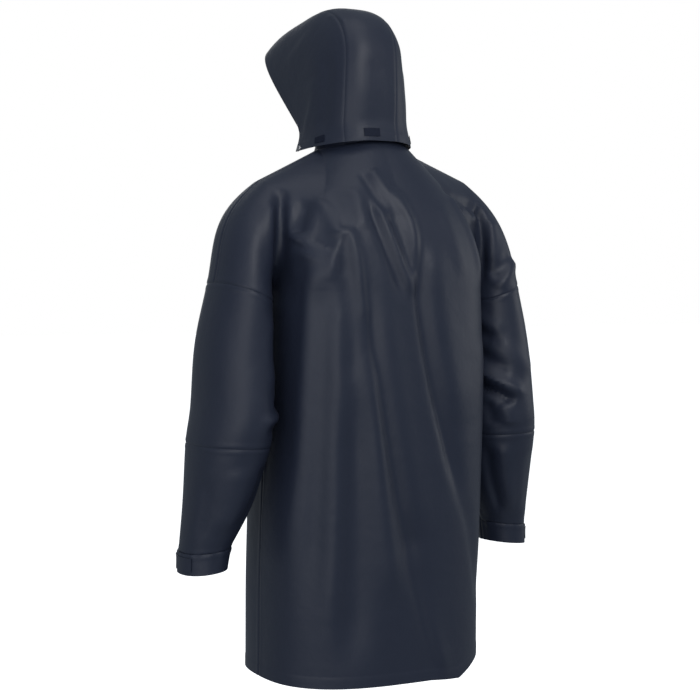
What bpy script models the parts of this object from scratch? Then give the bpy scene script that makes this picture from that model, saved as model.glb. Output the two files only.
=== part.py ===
"""Hooded raincoat, worn shape without a wearer, in metres, +Z up.

The origin is the middle of the neck, where the coat is held up. The front is -Y, the back is +Y
and the wearer's left is +X. Every cloth piece is a grid of points worked out from the tables
below, given a wall on its inner side and a small gap to the pieces that it is welded to.
"""
import math
from collections import namedtuple

import bmesh
import bpy
import numpy as np
from mathutils import Matrix, Vector

# Cloth and trim
CLOTH = 0.0016            # coated knit wall
CUFF_CLOTH = 0.0024       # cuff bands are two layers
SEAM_GAP = 0.0004         # between two pieces along a seam
OVERLAY_LIFT = 0.0004     # gap under a piece that lies on another
PATCH_CLOTH = 0.0010      # patch under a press stud
STUD_RADIUS = 0.0065
STUD_TOP_SHARE = 0.82     # width of a stud's top against its foot
STUD_HEIGHT = 0.0022

# How finely each piece is divided
UPPER_ROWS = 8            # shoulder line to underarm, and half of a sleeve's girth
BACK_COLUMNS = 15         # centre back to armhole
FRONT_COLUMNS = 11        # centre front to armhole
SHOULDER_COLUMNS = 6      # neck edge to armhole, along the shoulder line
CAP_COLUMNS = 5           # armhole to the upper-arm seam
MID_SLEEVE_ROWS = 6
LOWER_SLEEVE_ROWS = 5
STUD_SEGMENTS = 16
CURVE_STEPS = 320         # close points along a curve before it is divided evenly
BLEND_STEPS = 12          # fine sections between two rows of the sleeve table

# Neck and shoulders
NECK_SQUARE = 2.1
NECK_HALF_WIDTH = 0.087
NECK_BACK = 0.079
NECK_FRONT = -0.085
NECK_BACK_Z = 0.010
NECK_SIDE_Z = 0.000
NECK_FRONT_Z = -0.052
SHOULDER = Vector((0.205, 0.004, -0.056))      # outer end of the shoulder line on the body
SHOULDER_LIFT = 0.035     # the wearer's right shoulder is higher, per metre across
COLLAR_HEIGHT = 0.032
COLLAR_GAP = 0.0016       # height of the collar's lower edge over the neck edge
COLLAR_LEAN = 0.90        # width at its top against its foot

# How the upper body leaves the neck and shoulder line and arrives at the underarm section, at the
# middle and at the armhole; y is outwards. The strength is against the distance covered.
LEAVE_MIDDLE = np.array((0.0, 0.55, -0.75))
LEAVE_ARMHOLE = np.array((0.25, 1.30, -0.13))
ARRIVE_MIDDLE = np.array((0.0, 0.0, -1.0))
ARRIVE_ARMHOLE = np.array((0.0, -1.15, -0.65))
LEAVE_POWER = 1.2         # a higher power keeps the change nearer the armhole
ARRIVE_POWER = 6
UPPER_STRENGTH = 1.1

# How the sleeve cap leaves the armhole, at its top and at the underarm
CAP_SPREAD = 0.25
CAP_FALL_TOP = -0.75
CAP_FALL_UNDERARM = -0.20
CAP_STRENGTH_TOP = 1.15
CAP_STRENGTH_UNDERARM = 0.25

# Coat body below the underarm, one row for each section:
# height, half width, back depth, front depth, side seam y, squareness
BodySection = namedtuple("BodySection", "z half_width back front side_y square")
BODY = [
    BodySection(-0.262, 0.2030, 0.188, 0.150, 0.022, 3.2),
    BodySection(-0.370, 0.2045, 0.190, 0.148, 0.020, 3.3),
    BodySection(-0.500, 0.2060, 0.188, 0.150, 0.018, 3.2),
    BodySection(-0.650, 0.2090, 0.182, 0.154, 0.014, 3.0),
    BodySection(-0.800, 0.2120, 0.177, 0.158, 0.010, 2.8),
    BodySection(-0.962, 0.2140, 0.175, 0.161, 0.010, 2.7),
]
BODY_ROWS = 14
# How far the hem hangs below its section, from the wearer's right side to the left one
HemDrop = namedtuple("HemDrop", "x back front")
HEM_DROP = [
    HemDrop(-0.214, -0.026, -0.018),
    HemDrop(-0.165, -0.009, -0.008),
    HemDrop(-0.120, 0.010, 0.000),
    HemDrop(-0.050, 0.003, 0.000),
    HemDrop(0.214, -0.002, -0.002),
]

# Left sleeve, one row for each section; the right one mirrors it:
# height at the middle, middle x and y, half width, half depth, rise from inner to outer side
SleeveSection = namedtuple("SleeveSection", "z x y half_width half_depth tilt")
SLEEVE = [
    SleeveSection(-0.266, 0.2600, 0.031, 0.049, 0.083, 0.38),
    SleeveSection(-0.365, 0.2720, 0.030, 0.060, 0.093, 0.15),
    SleeveSection(-0.470, 0.2750, 0.033, 0.066, 0.101, 0.05),
    SleeveSection(-0.534, 0.2830, 0.029, 0.067, 0.096, 0.05),
    SleeveSection(-0.635, 0.2965, 0.016, 0.0575, 0.077, 0.00),
    SleeveSection(-0.721, 0.3175, 0.003, 0.0430, 0.053, -0.10),
]
SLEEVE_SQUARE = 2.2
ELBOW_SECTION = 3         # the row of the elbow seam
CUFF_TOP_Z = -0.7215
CUFF_BOTTOM_Z = -0.757
CUFF_SWELL = 0.0010       # the band stands a little proud of the sleeve
CUFF_TAPER = 0.0020       # how much narrower the band is at its bottom
CUFF_LEAN = -0.10         # sideways for each metre down

# Hood, one row for each arch from the neck hem over the crown to the brim: base y and z, angle up
# from straight back, reach, half width, squareness, shift in x, flare, and how far the panels twist
HoodArch = namedtuple("HoodArch", "base_y base_z angle reach half_width square shift flare twist")
HOOD = [
    HoodArch(-0.060, -0.004, 4.5, 0.154, 0.1015, 2.9, 0.006, 0.00, 0.020),
    HoodArch(-0.0605, 0.010, 15.0, 0.155, 0.0970, 2.8, 0.006, 0.00, 0.020),
    HoodArch(-0.061, 0.022, 35.0, 0.182, 0.0940, 2.8, 0.006, 0.00, 0.018),
    HoodArch(-0.0625, 0.031, 57.0, 0.224, 0.0930, 2.8, 0.004, 0.00, 0.010),
    HoodArch(-0.065, 0.038, 80.0, 0.228, 0.0930, 3.2, 0.000, 0.03, 0.000),
    HoodArch(-0.069, 0.042, 106.0, 0.219, 0.0920, 3.8, 0.000, 0.08, 0.000),
    HoodArch(-0.074, 0.044, 135.0, 0.241, 0.0900, 4.4, 0.000, 0.16, 0.000),
]
HOOD_ROWS = 13
HOOD_CENTRE_COLUMNS = 6
HOOD_SIDE_COLUMNS = 6
HOOD_CENTRE_HALF = 0.052  # half width of the centre panel along the arch

# Largest folds of the back, from top to bottom; a groove is deep, a ridge has a negative depth
Fold = namedtuple("Fold", "x_top z_top x_bottom z_bottom bow width depth")
BACK_FOLDS = [
    Fold(0.098, -0.13, -0.078, -1.00, 0.012, 0.020, 0.0070),
    Fold(-0.018, -0.13, -0.140, -0.76, 0.030, 0.020, 0.0065),
    Fold(0.045, -0.04, 0.000, -0.30, 0.012, 0.018, 0.0045),
    Fold(0.118, -0.06, 0.178, -0.24, 0.000, 0.018, 0.0050),
    Fold(0.140, -0.24, 0.142, -1.00, 0.000, 0.020, -0.0040),
    Fold(0.172, -0.36, 0.165, -1.00, 0.000, 0.016, 0.0040),
    Fold(0.020, -0.45, 0.062, -1.00, 0.000, 0.022, -0.0040),
    Fold(-0.100, -0.10, -0.135, -0.34, 0.000, 0.022, 0.0045),
]
FRONT_FOLDS = [
    Fold(0.085, -0.16, 0.100, -0.90, 0.000, 0.026, 0.0060),
    Fold(-0.075, -0.20, -0.110, -1.00, 0.000, 0.026, 0.0060),
    Fold(0.140, -0.40, 0.130, -1.00, 0.000, 0.024, -0.0040),
    Fold(-0.150, -0.30, -0.150, -1.00, 0.000, 0.024, -0.0040),
]
FOLD_FADE = 0.18          # share of a fold's length over which it fades in and out
FOLD_SIDE_POWER = 8       # a higher power lets the folds run nearer the side seams

# Trim, placed by the rows and columns of the grid that it lies on
PLACKET_UPPER_TOP = 0.5
PLACKET_HEM_ROOM = 0.12
HOOD_PATCH_ROWS = (0.40, 1.25)
HOOD_PATCH_COLUMNS = {"centre": (8.1, 9.9), "left": (13.8, 14.9), "right": (3.2, 4.1)}
HOOD_STUDS = {"left": (0.55, 17.45), "right": (0.55, 0.55)}
CUFF_TAB_ROWS = (0.35, 1.65)
CUFF_TAB_COLUMNS = (3.6, 9.6)
CUFF_STUD = (1.0, 4.1)
PLACKET_UPPER_STUDS = (1.5, 5.5)
PLACKET_LOWER_STUDS = (1.5, 4.5, 7.5, 10.5)
PLACKET_STUD_COLUMN = 0.5


def clear_scene():
    for item in list(bpy.data.objects):
        bpy.data.objects.remove(item, do_unlink=True)


def blend_rows(table, steps):
    """Smooth rows between the rows of a table, evenly spaced along it."""
    row_type = type(table[0])
    rows = np.array(table, dtype=float)
    result = []
    for place in np.linspace(0.0, len(rows) - 1.0, steps + 1):
        index = min(int(place), len(rows) - 2)
        part = place - index
        before = rows[max(index - 1, 0)]
        start = rows[index]
        end = rows[index + 1]
        after = rows[min(index + 2, len(rows) - 1)]
        start_slope = (end - before) / (2.0 if index > 0 else 1.0)
        end_slope = (after - start) / (2.0 if index + 2 < len(rows) else 1.0)
        result.append(row_type(*hermite(start, start_slope, end, end_slope, part)))
    return result


def mix(first, second, share):
    return first + (second - first) * share


def hermite(start, start_slope, end, end_slope, part):
    """Cubic curve between two points that leaves and arrives along the two slopes."""
    square = part * part
    cube = square * part
    return (
        (2 * cube - 3 * square + 1) * start
        + (cube - 2 * square + part) * start_slope
        + (3 * square - 2 * cube) * end
        + (cube - square) * end_slope
    )


def even_points(curve, steps):
    """Points at equal distances along a curve given as many close points."""
    curve = np.asarray(curve)
    lengths = np.linalg.norm(np.diff(curve, axis=0), axis=1)
    run = np.concatenate([[0.0], np.cumsum(lengths)])
    wanted = np.linspace(0.0, run[-1], steps + 1)
    return np.array([[np.interp(w, run, curve[:, axis]) for axis in range(3)] for w in wanted])


def superellipse(angle, half_width, half_depth, square):
    power = 2.0 / square
    across = half_width * math.copysign(abs(math.sin(angle)) ** power, math.sin(angle))
    along = half_depth * math.copysign(abs(math.cos(angle)) ** power, math.cos(angle))
    return across, along


def quarter(middle_depth, side_y, half_width, square, z_middle, z_side):
    """Quarter outline from the middle (x = 0) to the side, as close points."""
    points = []
    for angle in np.linspace(0.0, math.pi / 2, CURVE_STEPS // 2):
        across, along = superellipse(angle, half_width, middle_depth - side_y, square)
        points.append((across, side_y + along, mix(z_middle, z_side, math.sin(angle) ** 2)))
    return points


def top_edge(is_back, columns):
    """Neck edge from the middle to the shoulder line, then along it to the armhole."""
    depth = NECK_BACK if is_back else NECK_FRONT
    middle_z = NECK_BACK_Z if is_back else NECK_FRONT_Z
    neck = quarter(depth, 0.0, NECK_HALF_WIDTH, NECK_SQUARE, middle_z, NECK_SIDE_Z)
    neck_columns = columns - SHOULDER_COLUMNS
    neck_points = even_points(neck, neck_columns)
    start = neck_points[-1]
    run = np.linspace(0.0, 1.0, columns - neck_columns + 1)[1:]
    shoulder = [start + (np.array(SHOULDER) - start) * part for part in run]
    return np.vstack([neck_points, shoulder])


def body_section(row, is_back, columns):
    depth = row.back if is_back else -row.front
    outline = quarter(depth, row.side_y, row.half_width, row.square, row.z, row.z)
    return even_points(outline, columns)


def upper_body(is_back, columns):
    """Rows of points from the neck and shoulder line down to the underarm."""
    top = top_edge(is_back, columns)
    bottom = body_section(BODY[0], is_back, columns)
    facing = np.array((1.0, 1.0 if is_back else -1.0, 1.0))
    rows = []
    for part in np.linspace(0.0, 1.0, UPPER_ROWS + 1):
        line = []
        for column, (start, end) in enumerate(zip(top, bottom)):
            side = column / columns
            pull = facing * np.linalg.norm(end - start) * UPPER_STRENGTH
            leave = mix(LEAVE_MIDDLE, LEAVE_ARMHOLE, side ** LEAVE_POWER) * pull
            arrive = mix(ARRIVE_MIDDLE, ARRIVE_ARMHOLE, side ** ARRIVE_POWER) * pull
            line.append(hermite(start, leave, end, arrive, part))
        rows.append(line)
    return np.array(rows)


def sleeve_ring(row, is_back):
    """Half ring of a sleeve from its outer side round to its inner side."""
    outward = 1.0 if is_back else -1.0
    points = []
    for angle in np.linspace(0.0, math.pi, UPPER_ROWS + 1):
        depth, width = superellipse(angle, row.half_depth, row.half_width, SLEEVE_SQUARE)
        points.append((row.x + width, row.y + outward * depth, row.z + row.tilt * width))
    return np.array(points)


def cap_columns(armhole, is_back):
    """Columns of points from the armhole line out and down to the upper-arm seam."""
    seam = sleeve_ring(SLEEVE[0], is_back)
    below = sleeve_ring(SLEEVE[1], is_back)
    outward = 1.0 if is_back else -1.0
    columns = []
    for place in np.linspace(0.0, 1.0, CAP_COLUMNS + 1)[1:]:
        column = []
        for row, (start, end) in enumerate(zip(armhole, seam)):
            turn = math.pi * row / UPPER_ROWS
            top_share = 0.5 + 0.5 * math.cos(turn)
            length = np.linalg.norm(end - start)
            spread = CAP_SPREAD * math.sin(turn) * outward
            leave = np.array((1.0, spread, mix(CAP_FALL_UNDERARM, CAP_FALL_TOP, top_share)))
            arrive = below[row] - end
            arrive = arrive / np.linalg.norm(arrive)
            pull = length * mix(CAP_STRENGTH_UNDERARM, CAP_STRENGTH_TOP, top_share)
            column.append(hermite(start, leave * pull, end, arrive * pull, place))
        columns.append(column)
    return columns


def half_upper(is_back, columns):
    """Upper half from the middle out to the upper-arm seam, rows by columns."""
    body = upper_body(is_back, columns)
    armhole = body[:, -1]
    caps = np.array(cap_columns(armhole, is_back)).transpose(1, 0, 2)
    return np.concatenate([body, caps], axis=1)


def half_lower(is_back, columns):
    """Lower half from the underarm to the hem, rows by columns."""
    sections = blend_rows(BODY, BODY_ROWS)
    return np.array([body_section(row, is_back, columns) for row in sections])


def both_sides(half):
    """Adds the mirror image of a half grid that starts at the middle."""
    mirrored = half[:, :0:-1] * np.array((-1.0, 1.0, 1.0))
    return np.concatenate([mirrored, half], axis=1)


def fold_grid(grid, folds, outward):
    """Presses the folds into a grid, along y, clear of the sides."""
    x = grid[:, :, 0]
    z = grid[:, :, 2]
    clear = np.clip(1 - (np.abs(x) / SHOULDER[0]) ** FOLD_SIDE_POWER, 0.0, 1.0)
    for fold in folds:
        run = (fold.z_top - z) / (fold.z_top - fold.z_bottom)
        centre = mix(fold.x_top, fold.x_bottom, run) + fold.bow * 4 * run * (1 - run)
        ends = np.clip(np.minimum(run, 1 - run) / FOLD_FADE, 0.0, 1.0)
        profile = np.exp(-(((x - centre) / fold.width) ** 2))
        grid[:, :, 1] -= outward * fold.depth * profile * ends * ends * (3 - 2 * ends) * clear
    return grid


def lift_right_shoulder(grid, columns):
    """Raises the wearer's right shoulder and lowers the left one, above the underarm and sleeves."""
    rows = np.linspace(0.0, 1.0, grid.shape[0])[:, None]
    middle = grid.shape[1] // 2
    distance = np.abs(np.arange(grid.shape[1]) - middle)
    beyond = np.clip((distance - columns) / CAP_COLUMNS, 0.0, 1.0)[None, :]
    grid[:, :, 2] -= grid[:, :, 0] * SHOULDER_LIFT * (1 - rows) * (1 - beyond)
    return grid


def drop_hem(grid, is_back):
    """Lets the lower grid hang by the hem table, most at the hem."""
    across = [row.x for row in HEM_DROP]
    drop = [row.back if is_back else row.front for row in HEM_DROP]
    share = np.linspace(0.0, 1.0, grid.shape[0])[:, None] ** 2
    grid[:, :, 2] -= np.interp(grid[:, :, 0], across, drop) * share
    return grid


def sleeve_grid(first, last, rows, side):
    """Full rings of a sleeve between two sections, as rows by columns round the arm."""
    fine = blend_rows(SLEEVE, (len(SLEEVE) - 1) * BLEND_STEPS)
    picked = np.linspace(first * BLEND_STEPS, last * BLEND_STEPS, rows + 1)
    grid = []
    for place in picked:
        row = fine[int(round(place))]
        back = sleeve_ring(row, True)
        front = sleeve_ring(row, False)
        ring = np.vstack([back, front[-2::-1]])
        grid.append(ring * np.array((side, 1.0, 1.0)))
    return np.array(grid)


def cuff_grid(side):
    """Cuff band, from its inner side round the front, the outer side and the back."""
    wrist = SLEEVE[-1]
    grid = []
    for part in (0.0, 0.5, 1.0):
        ring_z = mix(CUFF_TOP_Z, CUFF_BOTTOM_Z, part)
        swell = CUFF_SWELL - CUFF_TAPER * part
        row = wrist._replace(
            z=ring_z,
            x=wrist.x + CUFF_LEAN * (ring_z - CUFF_TOP_Z),
            half_width=wrist.half_width + swell,
            half_depth=wrist.half_depth + swell,
        )
        back = sleeve_ring(row, True)
        front = sleeve_ring(row, False)
        ring = np.vstack([front[::-1], back[1:]])
        grid.append(ring * np.array((side, 1.0, 1.0)))
    return np.array(grid)


def hood_arch(row):
    """One arch of the hood from the wearer's right base to the left base."""
    lean = math.radians(row.angle)
    points = []
    for turn in np.linspace(-math.pi / 2, math.pi / 2, CURVE_STEPS + 1):
        across, along = superellipse(turn, row.half_width, row.reach, row.square)
        share = along / row.reach
        sideways = across * (1 + row.flare * share) + row.shift * share
        y = row.base_y + along * math.cos(lean)
        points.append((sideways, y, row.base_z + along * math.sin(lean)))
    return np.array(points)


def hood_grid():
    """The arches divided into the right side, the centre panel and the left side."""
    rows = []
    for row in blend_rows(HOOD, HOOD_ROWS):
        arch = hood_arch(row)
        lengths = np.concatenate([[0.0], np.cumsum(np.linalg.norm(np.diff(arch, axis=0), axis=1))])
        middle = lengths[-1] / 2 + row.twist
        first_seam = middle - HOOD_CENTRE_HALF
        second_seam = middle + HOOD_CENTRE_HALF
        edges = np.concatenate([
            np.linspace(0.0, first_seam, HOOD_SIDE_COLUMNS + 1),
            np.linspace(first_seam, second_seam, HOOD_CENTRE_COLUMNS + 1)[1:-1],
            np.linspace(second_seam, lengths[-1], HOOD_SIDE_COLUMNS + 1),
        ])
        rows.append([[np.interp(e, lengths, arch[:, axis]) for axis in range(3)] for e in edges])
    return np.array(rows)


def collar_grid():
    """Stand collar from the neck edge up, open at the centre front."""
    back = top_edge(True, BACK_COLUMNS)[: BACK_COLUMNS - SHOULDER_COLUMNS + 1]
    front = top_edge(False, FRONT_COLUMNS)[: FRONT_COLUMNS - SHOULDER_COLUMNS + 1]
    half = np.vstack([front[:-1], back[::-1]])
    mirrored = half[-2::-1] * np.array((-1.0, 1.0, 1.0))
    ring = np.vstack([half, mirrored])
    rows = []
    for part in (0.0, 0.5, 1.0):
        shrink = mix(1.0, COLLAR_LEAN, part)
        row = ring * np.array((shrink, shrink, 1.0))
        row[:, 2] += COLLAR_GAP + COLLAR_HEIGHT * part - row[:, 0] * SHOULDER_LIFT
        rows.append(row)
    return np.array(rows)


def point_key(point):
    return tuple(int(round(value * 1e6)) for value in point)


class Cloth:
    """Grids of points that share their edges, with one normal for each shared point."""

    def __init__(self):
        self.normals = {}
        self.grids = {}

    def add(self, name, grid, outward, cap_start=None):
        """Takes a grid; outward is 1 when column direction x row direction points outside, or -1.

        Faces more than cap_start columns from the middle belong to the shoulder caps.
        """
        self.grids[name] = (grid, outward)
        middle = (grid.shape[1] - 1) / 2
        for row in range(grid.shape[0] - 1):
            for column in range(grid.shape[1] - 1):
                corners = (
                    grid[row, column],
                    grid[row, column + 1],
                    grid[row + 1, column + 1],
                    grid[row + 1, column],
                )
                normal = np.cross(corners[2] - corners[0], corners[3] - corners[1]) * outward
                side = "cap" if cap_start and abs(column + 0.5 - middle) > cap_start else "panel"
                for corner in corners:
                    sums = self.normals.setdefault(point_key(corner), {})
                    sums[side] = sums.get(side, np.zeros(3)) + normal

    def normal(self, point):
        """Shared normal; panel and cap count alike, so that it halves the crease between them."""
        sums = self.normals[point_key(point)].values()
        total = sum(value / np.linalg.norm(value) for value in sums)
        return total / np.linalg.norm(total)

    def overlay_grid(self, name, rows, columns):
        """Points on the facets of a grid at the given row and column places, with normals."""
        grid, outward = self.grids[name]
        points = []
        normals = []
        for row in rows:
            top = min(int(row), grid.shape[0] - 2)
            down = row - top
            point_line = []
            normal_line = []
            for column in columns:
                left = min(int(column), grid.shape[1] - 2)
                across = column - left
                weights = (
                    (top, left, (1 - down) * (1 - across)),
                    (top, left + 1, (1 - down) * across),
                    (top + 1, left, down * (1 - across)),
                    (top + 1, left + 1, down * across),
                )
                point_line.append(sum(grid[r, c] * weight for r, c, weight in weights))
                normal_line.append(sum(self.normal(grid[r, c]) * weight for r, c, weight in weights))
            points.append(point_line)
            normals.append(normal_line)
        return np.array(points), np.array(normals), outward


def places(start, end):
    """Start and end with every whole grid line between them."""
    return sorted({start, end, *range(math.ceil(start), math.floor(end) + 1)})


def make_material(name, colour, roughness, metallic=0.0):
    material = bpy.data.materials.new(name)
    material.use_nodes = True
    shader = material.node_tree.nodes["Principled BSDF"]
    shader.inputs["Base Color"].default_value = (*colour, 1.0)
    shader.inputs["Roughness"].default_value = roughness
    shader.inputs["Metallic"].default_value = metallic
    return material


def add_object(name, bm, material):
    mesh = bpy.data.meshes.new(name)
    bm.to_mesh(mesh)
    bm.free()
    mesh.materials.append(material)
    obj = bpy.data.objects.new(name, mesh)
    bpy.context.scene.collection.objects.link(obj)
    return obj


def edge_inset(bm, normals):
    """How far each border point moves into its piece to leave half a seam gap."""
    moves = {}
    for edge in bm.edges:
        if not edge.is_boundary:
            continue
        face = edge.link_faces[0]
        along = (edge.verts[1].co - edge.verts[0].co).normalized()
        inward = face.calc_center_median() - edge.verts[0].co
        inward -= along * inward.dot(along)
        inward.normalize()
        for vert in edge.verts:
            moves.setdefault(vert, []).append(inward)
    for vert, directions in moves.items():
        total = sum(directions, Vector())
        total -= normals[vert] * total.dot(normals[vert])
        if total.length > 1e-6:
            total.normalize()
            share = max(0.5, sum(total.dot(d) for d in directions) / len(directions))
            vert.co += total * (SEAM_GAP / 2 / share)


def wall_piece(name, parts, thickness, material):
    """Closed wall from grids of points and outward normals; its inner side is moved in.

    parts is a list of (points, normals, outward) whose shared points are joined.
    """
    bm = bmesh.new()
    known = {}
    normals = {}
    for points, point_normals, outward in parts:
        for row in range(points.shape[0] - 1):
            for column in range(points.shape[1] - 1):
                corners = (
                    (row, column),
                    (row, column + 1),
                    (row + 1, column + 1),
                    (row + 1, column),
                )
                face = []
                for corner in corners:
                    key = point_key(points[corner])
                    if key not in known:
                        known[key] = bm.verts.new(points[corner])
                        normals[known[key]] = Vector(point_normals[corner]).normalized()
                    if known[key] not in face:
                        face.append(known[key])
                if outward < 0:
                    face.reverse()
                if len(face) > 2:
                    bm.faces.new(face)
    edge_inset(bm, normals)
    bmesh.ops.triangulate(bm, faces=bm.faces, quad_method="SHORT_EDGE")
    outer_faces = list(bm.faces)
    outer_verts = list(bm.verts)
    border = [edge for edge in bm.edges if edge.is_boundary]
    inner = {}
    for vert in outer_verts:
        inner[vert] = bm.verts.new(vert.co - normals[vert] * thickness)
    for face in outer_faces:
        bm.faces.new([inner[vert] for vert in reversed(face.verts)])
    for edge in border:
        face = edge.link_faces[0]
        first, second = edge.verts
        order = list(face.verts)
        if order[(order.index(first) + 1) % len(order)] != second:
            first, second = second, first
        bm.faces.new([second, first, inner[first], inner[second]])
    return add_object(name, bm, material)


def with_normals(cloth, name, rows=None, columns=None):
    """A grid, or some of its rows and columns, with its points' shared normals."""
    grid, outward = cloth.grids[name]
    rows = rows or (0, grid.shape[0])
    columns = columns or (0, grid.shape[1])
    points = grid[rows[0]:rows[1], columns[0]:columns[1]]
    normals = np.array([[cloth.normal(point) for point in line] for line in points])
    return points, normals, outward


def overlay_piece(name, cloth, areas, thickness, material):
    """A thin piece that lies on grids; areas holds (grid name, (first row, last row), (columns))."""
    parts = []
    for grid_name, rows, columns in areas:
        points, normals, outward = cloth.overlay_grid(grid_name, places(*rows), places(*columns))
        parts.append((points + normals * (OVERLAY_LIFT + thickness), normals, outward))
    return wall_piece(name, parts, thickness, material)


def stud_piece(name, cloth, grid_name, row, column, lift, material):
    """A press-stud cap, a low turned disc standing on a piece."""
    points, normals, _ = cloth.overlay_grid(grid_name, [row], [column])
    centre = Vector(points[0, 0])
    axis = Vector(normals[0, 0]).normalized()
    bm = bmesh.new()
    bmesh.ops.create_cone(
        bm,
        cap_ends=True,
        segments=STUD_SEGMENTS,
        radius1=STUD_RADIUS,
        radius2=STUD_RADIUS * STUD_TOP_SHARE,
        depth=STUD_HEIGHT,
    )
    turn = axis.to_track_quat("Z", "Y").to_matrix().to_4x4()
    place = Matrix.Translation(centre + axis * (lift + STUD_HEIGHT / 2))
    bmesh.ops.transform(bm, matrix=place @ turn, verts=bm.verts)
    return add_object(name, bm, material)


def build():
    clear_scene()
    shell = make_material("coated_navy", (0.028, 0.034, 0.052), 0.38)
    trim = make_material("trim_navy", (0.020, 0.024, 0.038), 0.45)
    metal = make_material("stud_metal", (0.30, 0.30, 0.32), 0.35, 0.9)

    cloth = Cloth()
    for word, is_back, columns, folds in (
        ("back", True, BACK_COLUMNS, BACK_FOLDS),
        ("front", False, FRONT_COLUMNS, FRONT_FOLDS),
    ):
        outward = 1 if is_back else -1
        upper = lift_right_shoulder(both_sides(half_upper(is_back, columns)), columns)
        lower = drop_hem(both_sides(half_lower(is_back, columns)), is_back)
        cloth.add(word + "_upper", fold_grid(upper, folds, outward), outward, columns)
        cloth.add(word + "_lower", fold_grid(lower, folds, outward), outward)
    wrist = len(SLEEVE) - 1
    for side, word in ((1.0, "left"), (-1.0, "right")):
        cloth.add("mid_" + word, sleeve_grid(0, ELBOW_SECTION, MID_SLEEVE_ROWS, side), -side)
        cloth.add("lower_" + word, sleeve_grid(ELBOW_SECTION, wrist, LOWER_SLEEVE_ROWS, side), -side)
        cloth.add("cuff_" + word, cuff_grid(side), -side)
    cloth.add("hood", hood_grid(), -1)
    cloth.add("collar", collar_grid(), 1)

    back_parts = [with_normals(cloth, "back_upper"), with_normals(cloth, "back_lower")]
    wall_piece("back", back_parts, CLOTH, shell)
    upper_middle = FRONT_COLUMNS + CAP_COLUMNS
    for word, upper_range, lower_range in (
        ("right", (0, upper_middle + 1), (0, FRONT_COLUMNS + 1)),
        ("left", (upper_middle, 2 * upper_middle + 1), (FRONT_COLUMNS, 2 * FRONT_COLUMNS + 1)),
    ):
        upper = with_normals(cloth, "front_upper", columns=upper_range)
        lower = with_normals(cloth, "front_lower", columns=lower_range)
        wall_piece("front_" + word, [upper, lower], CLOTH, shell)
    for word in ("left", "right"):
        wall_piece("sleeve_mid_" + word, [with_normals(cloth, "mid_" + word)], CLOTH, shell)
        wall_piece("sleeve_lower_" + word, [with_normals(cloth, "lower_" + word)], CLOTH, shell)
        wall_piece("cuff_" + word, [with_normals(cloth, "cuff_" + word)], CUFF_CLOTH, shell)
    side_end = HOOD_SIDE_COLUMNS
    centre_end = HOOD_SIDE_COLUMNS + HOOD_CENTRE_COLUMNS
    whole = centre_end + HOOD_SIDE_COLUMNS
    for word, start, end in (
        ("right", 0, side_end),
        ("centre", side_end, centre_end),
        ("left", centre_end, whole),
    ):
        panel = with_normals(cloth, "hood", columns=(start, end + 1))
        wall_piece("hood_" + word, [panel], CLOTH, shell)
    wall_piece("collar", [with_normals(cloth, "collar")], CLOTH, shell)

    for word, columns in HOOD_PATCH_COLUMNS.items():
        area = ("hood", HOOD_PATCH_ROWS, columns)
        overlay_piece("hood_patch_" + word, cloth, [area], PATCH_CLOTH, trim)
    on_cloth = OVERLAY_LIFT
    on_overlay = 2 * OVERLAY_LIFT + CLOTH
    for word, (row, column) in HOOD_STUDS.items():
        stud_piece("hood_stud_" + word, cloth, "hood", row, column, on_cloth, metal)
    for word in ("left", "right"):
        cuff = "cuff_" + word
        area = (cuff, CUFF_TAB_ROWS, CUFF_TAB_COLUMNS)
        overlay_piece("cuff_tab_" + word, cloth, [area], CLOTH, trim)
        stud_piece("cuff_stud_" + word, cloth, cuff, *CUFF_STUD, on_overlay, metal)
    upper_rows = (PLACKET_UPPER_TOP, UPPER_ROWS)
    lower_rows = (0, BODY_ROWS - PLACKET_HEM_ROOM)
    upper_area = ("front_upper", upper_rows, (upper_middle - 1, upper_middle + 1))
    lower_area = ("front_lower", lower_rows, (FRONT_COLUMNS - 1, FRONT_COLUMNS + 1))
    overlay_piece("placket", cloth, [upper_area, lower_area], CLOTH, shell)
    stud_places = [("front_upper", row, upper_middle) for row in PLACKET_UPPER_STUDS]
    stud_places += [("front_lower", row, FRONT_COLUMNS) for row in PLACKET_LOWER_STUDS]
    for number, (grid_name, row, middle) in enumerate(stud_places, start=1):
        column = middle + PLACKET_STUD_COLUMN
        stud_piece(f"front_stud_{number}", cloth, grid_name, row, column, on_overlay, metal)


build()
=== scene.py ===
import math
from collections import namedtuple

import bmesh
import bpy
import numpy as np
from mathutils import Matrix, Vector


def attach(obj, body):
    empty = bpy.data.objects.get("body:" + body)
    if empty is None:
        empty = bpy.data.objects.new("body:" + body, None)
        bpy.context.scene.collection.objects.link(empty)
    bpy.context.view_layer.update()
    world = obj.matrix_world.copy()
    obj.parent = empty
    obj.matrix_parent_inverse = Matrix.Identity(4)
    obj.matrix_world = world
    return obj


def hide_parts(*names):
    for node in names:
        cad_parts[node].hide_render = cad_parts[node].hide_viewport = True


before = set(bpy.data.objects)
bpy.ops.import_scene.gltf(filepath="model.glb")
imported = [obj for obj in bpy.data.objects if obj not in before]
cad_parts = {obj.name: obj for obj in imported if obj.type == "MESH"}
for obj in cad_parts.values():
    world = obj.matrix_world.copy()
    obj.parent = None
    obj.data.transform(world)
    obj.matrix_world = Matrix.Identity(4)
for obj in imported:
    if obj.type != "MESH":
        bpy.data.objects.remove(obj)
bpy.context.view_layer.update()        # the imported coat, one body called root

# the coat's own sizes, in metres, origin in the middle of the neck, front at -Y

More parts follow.
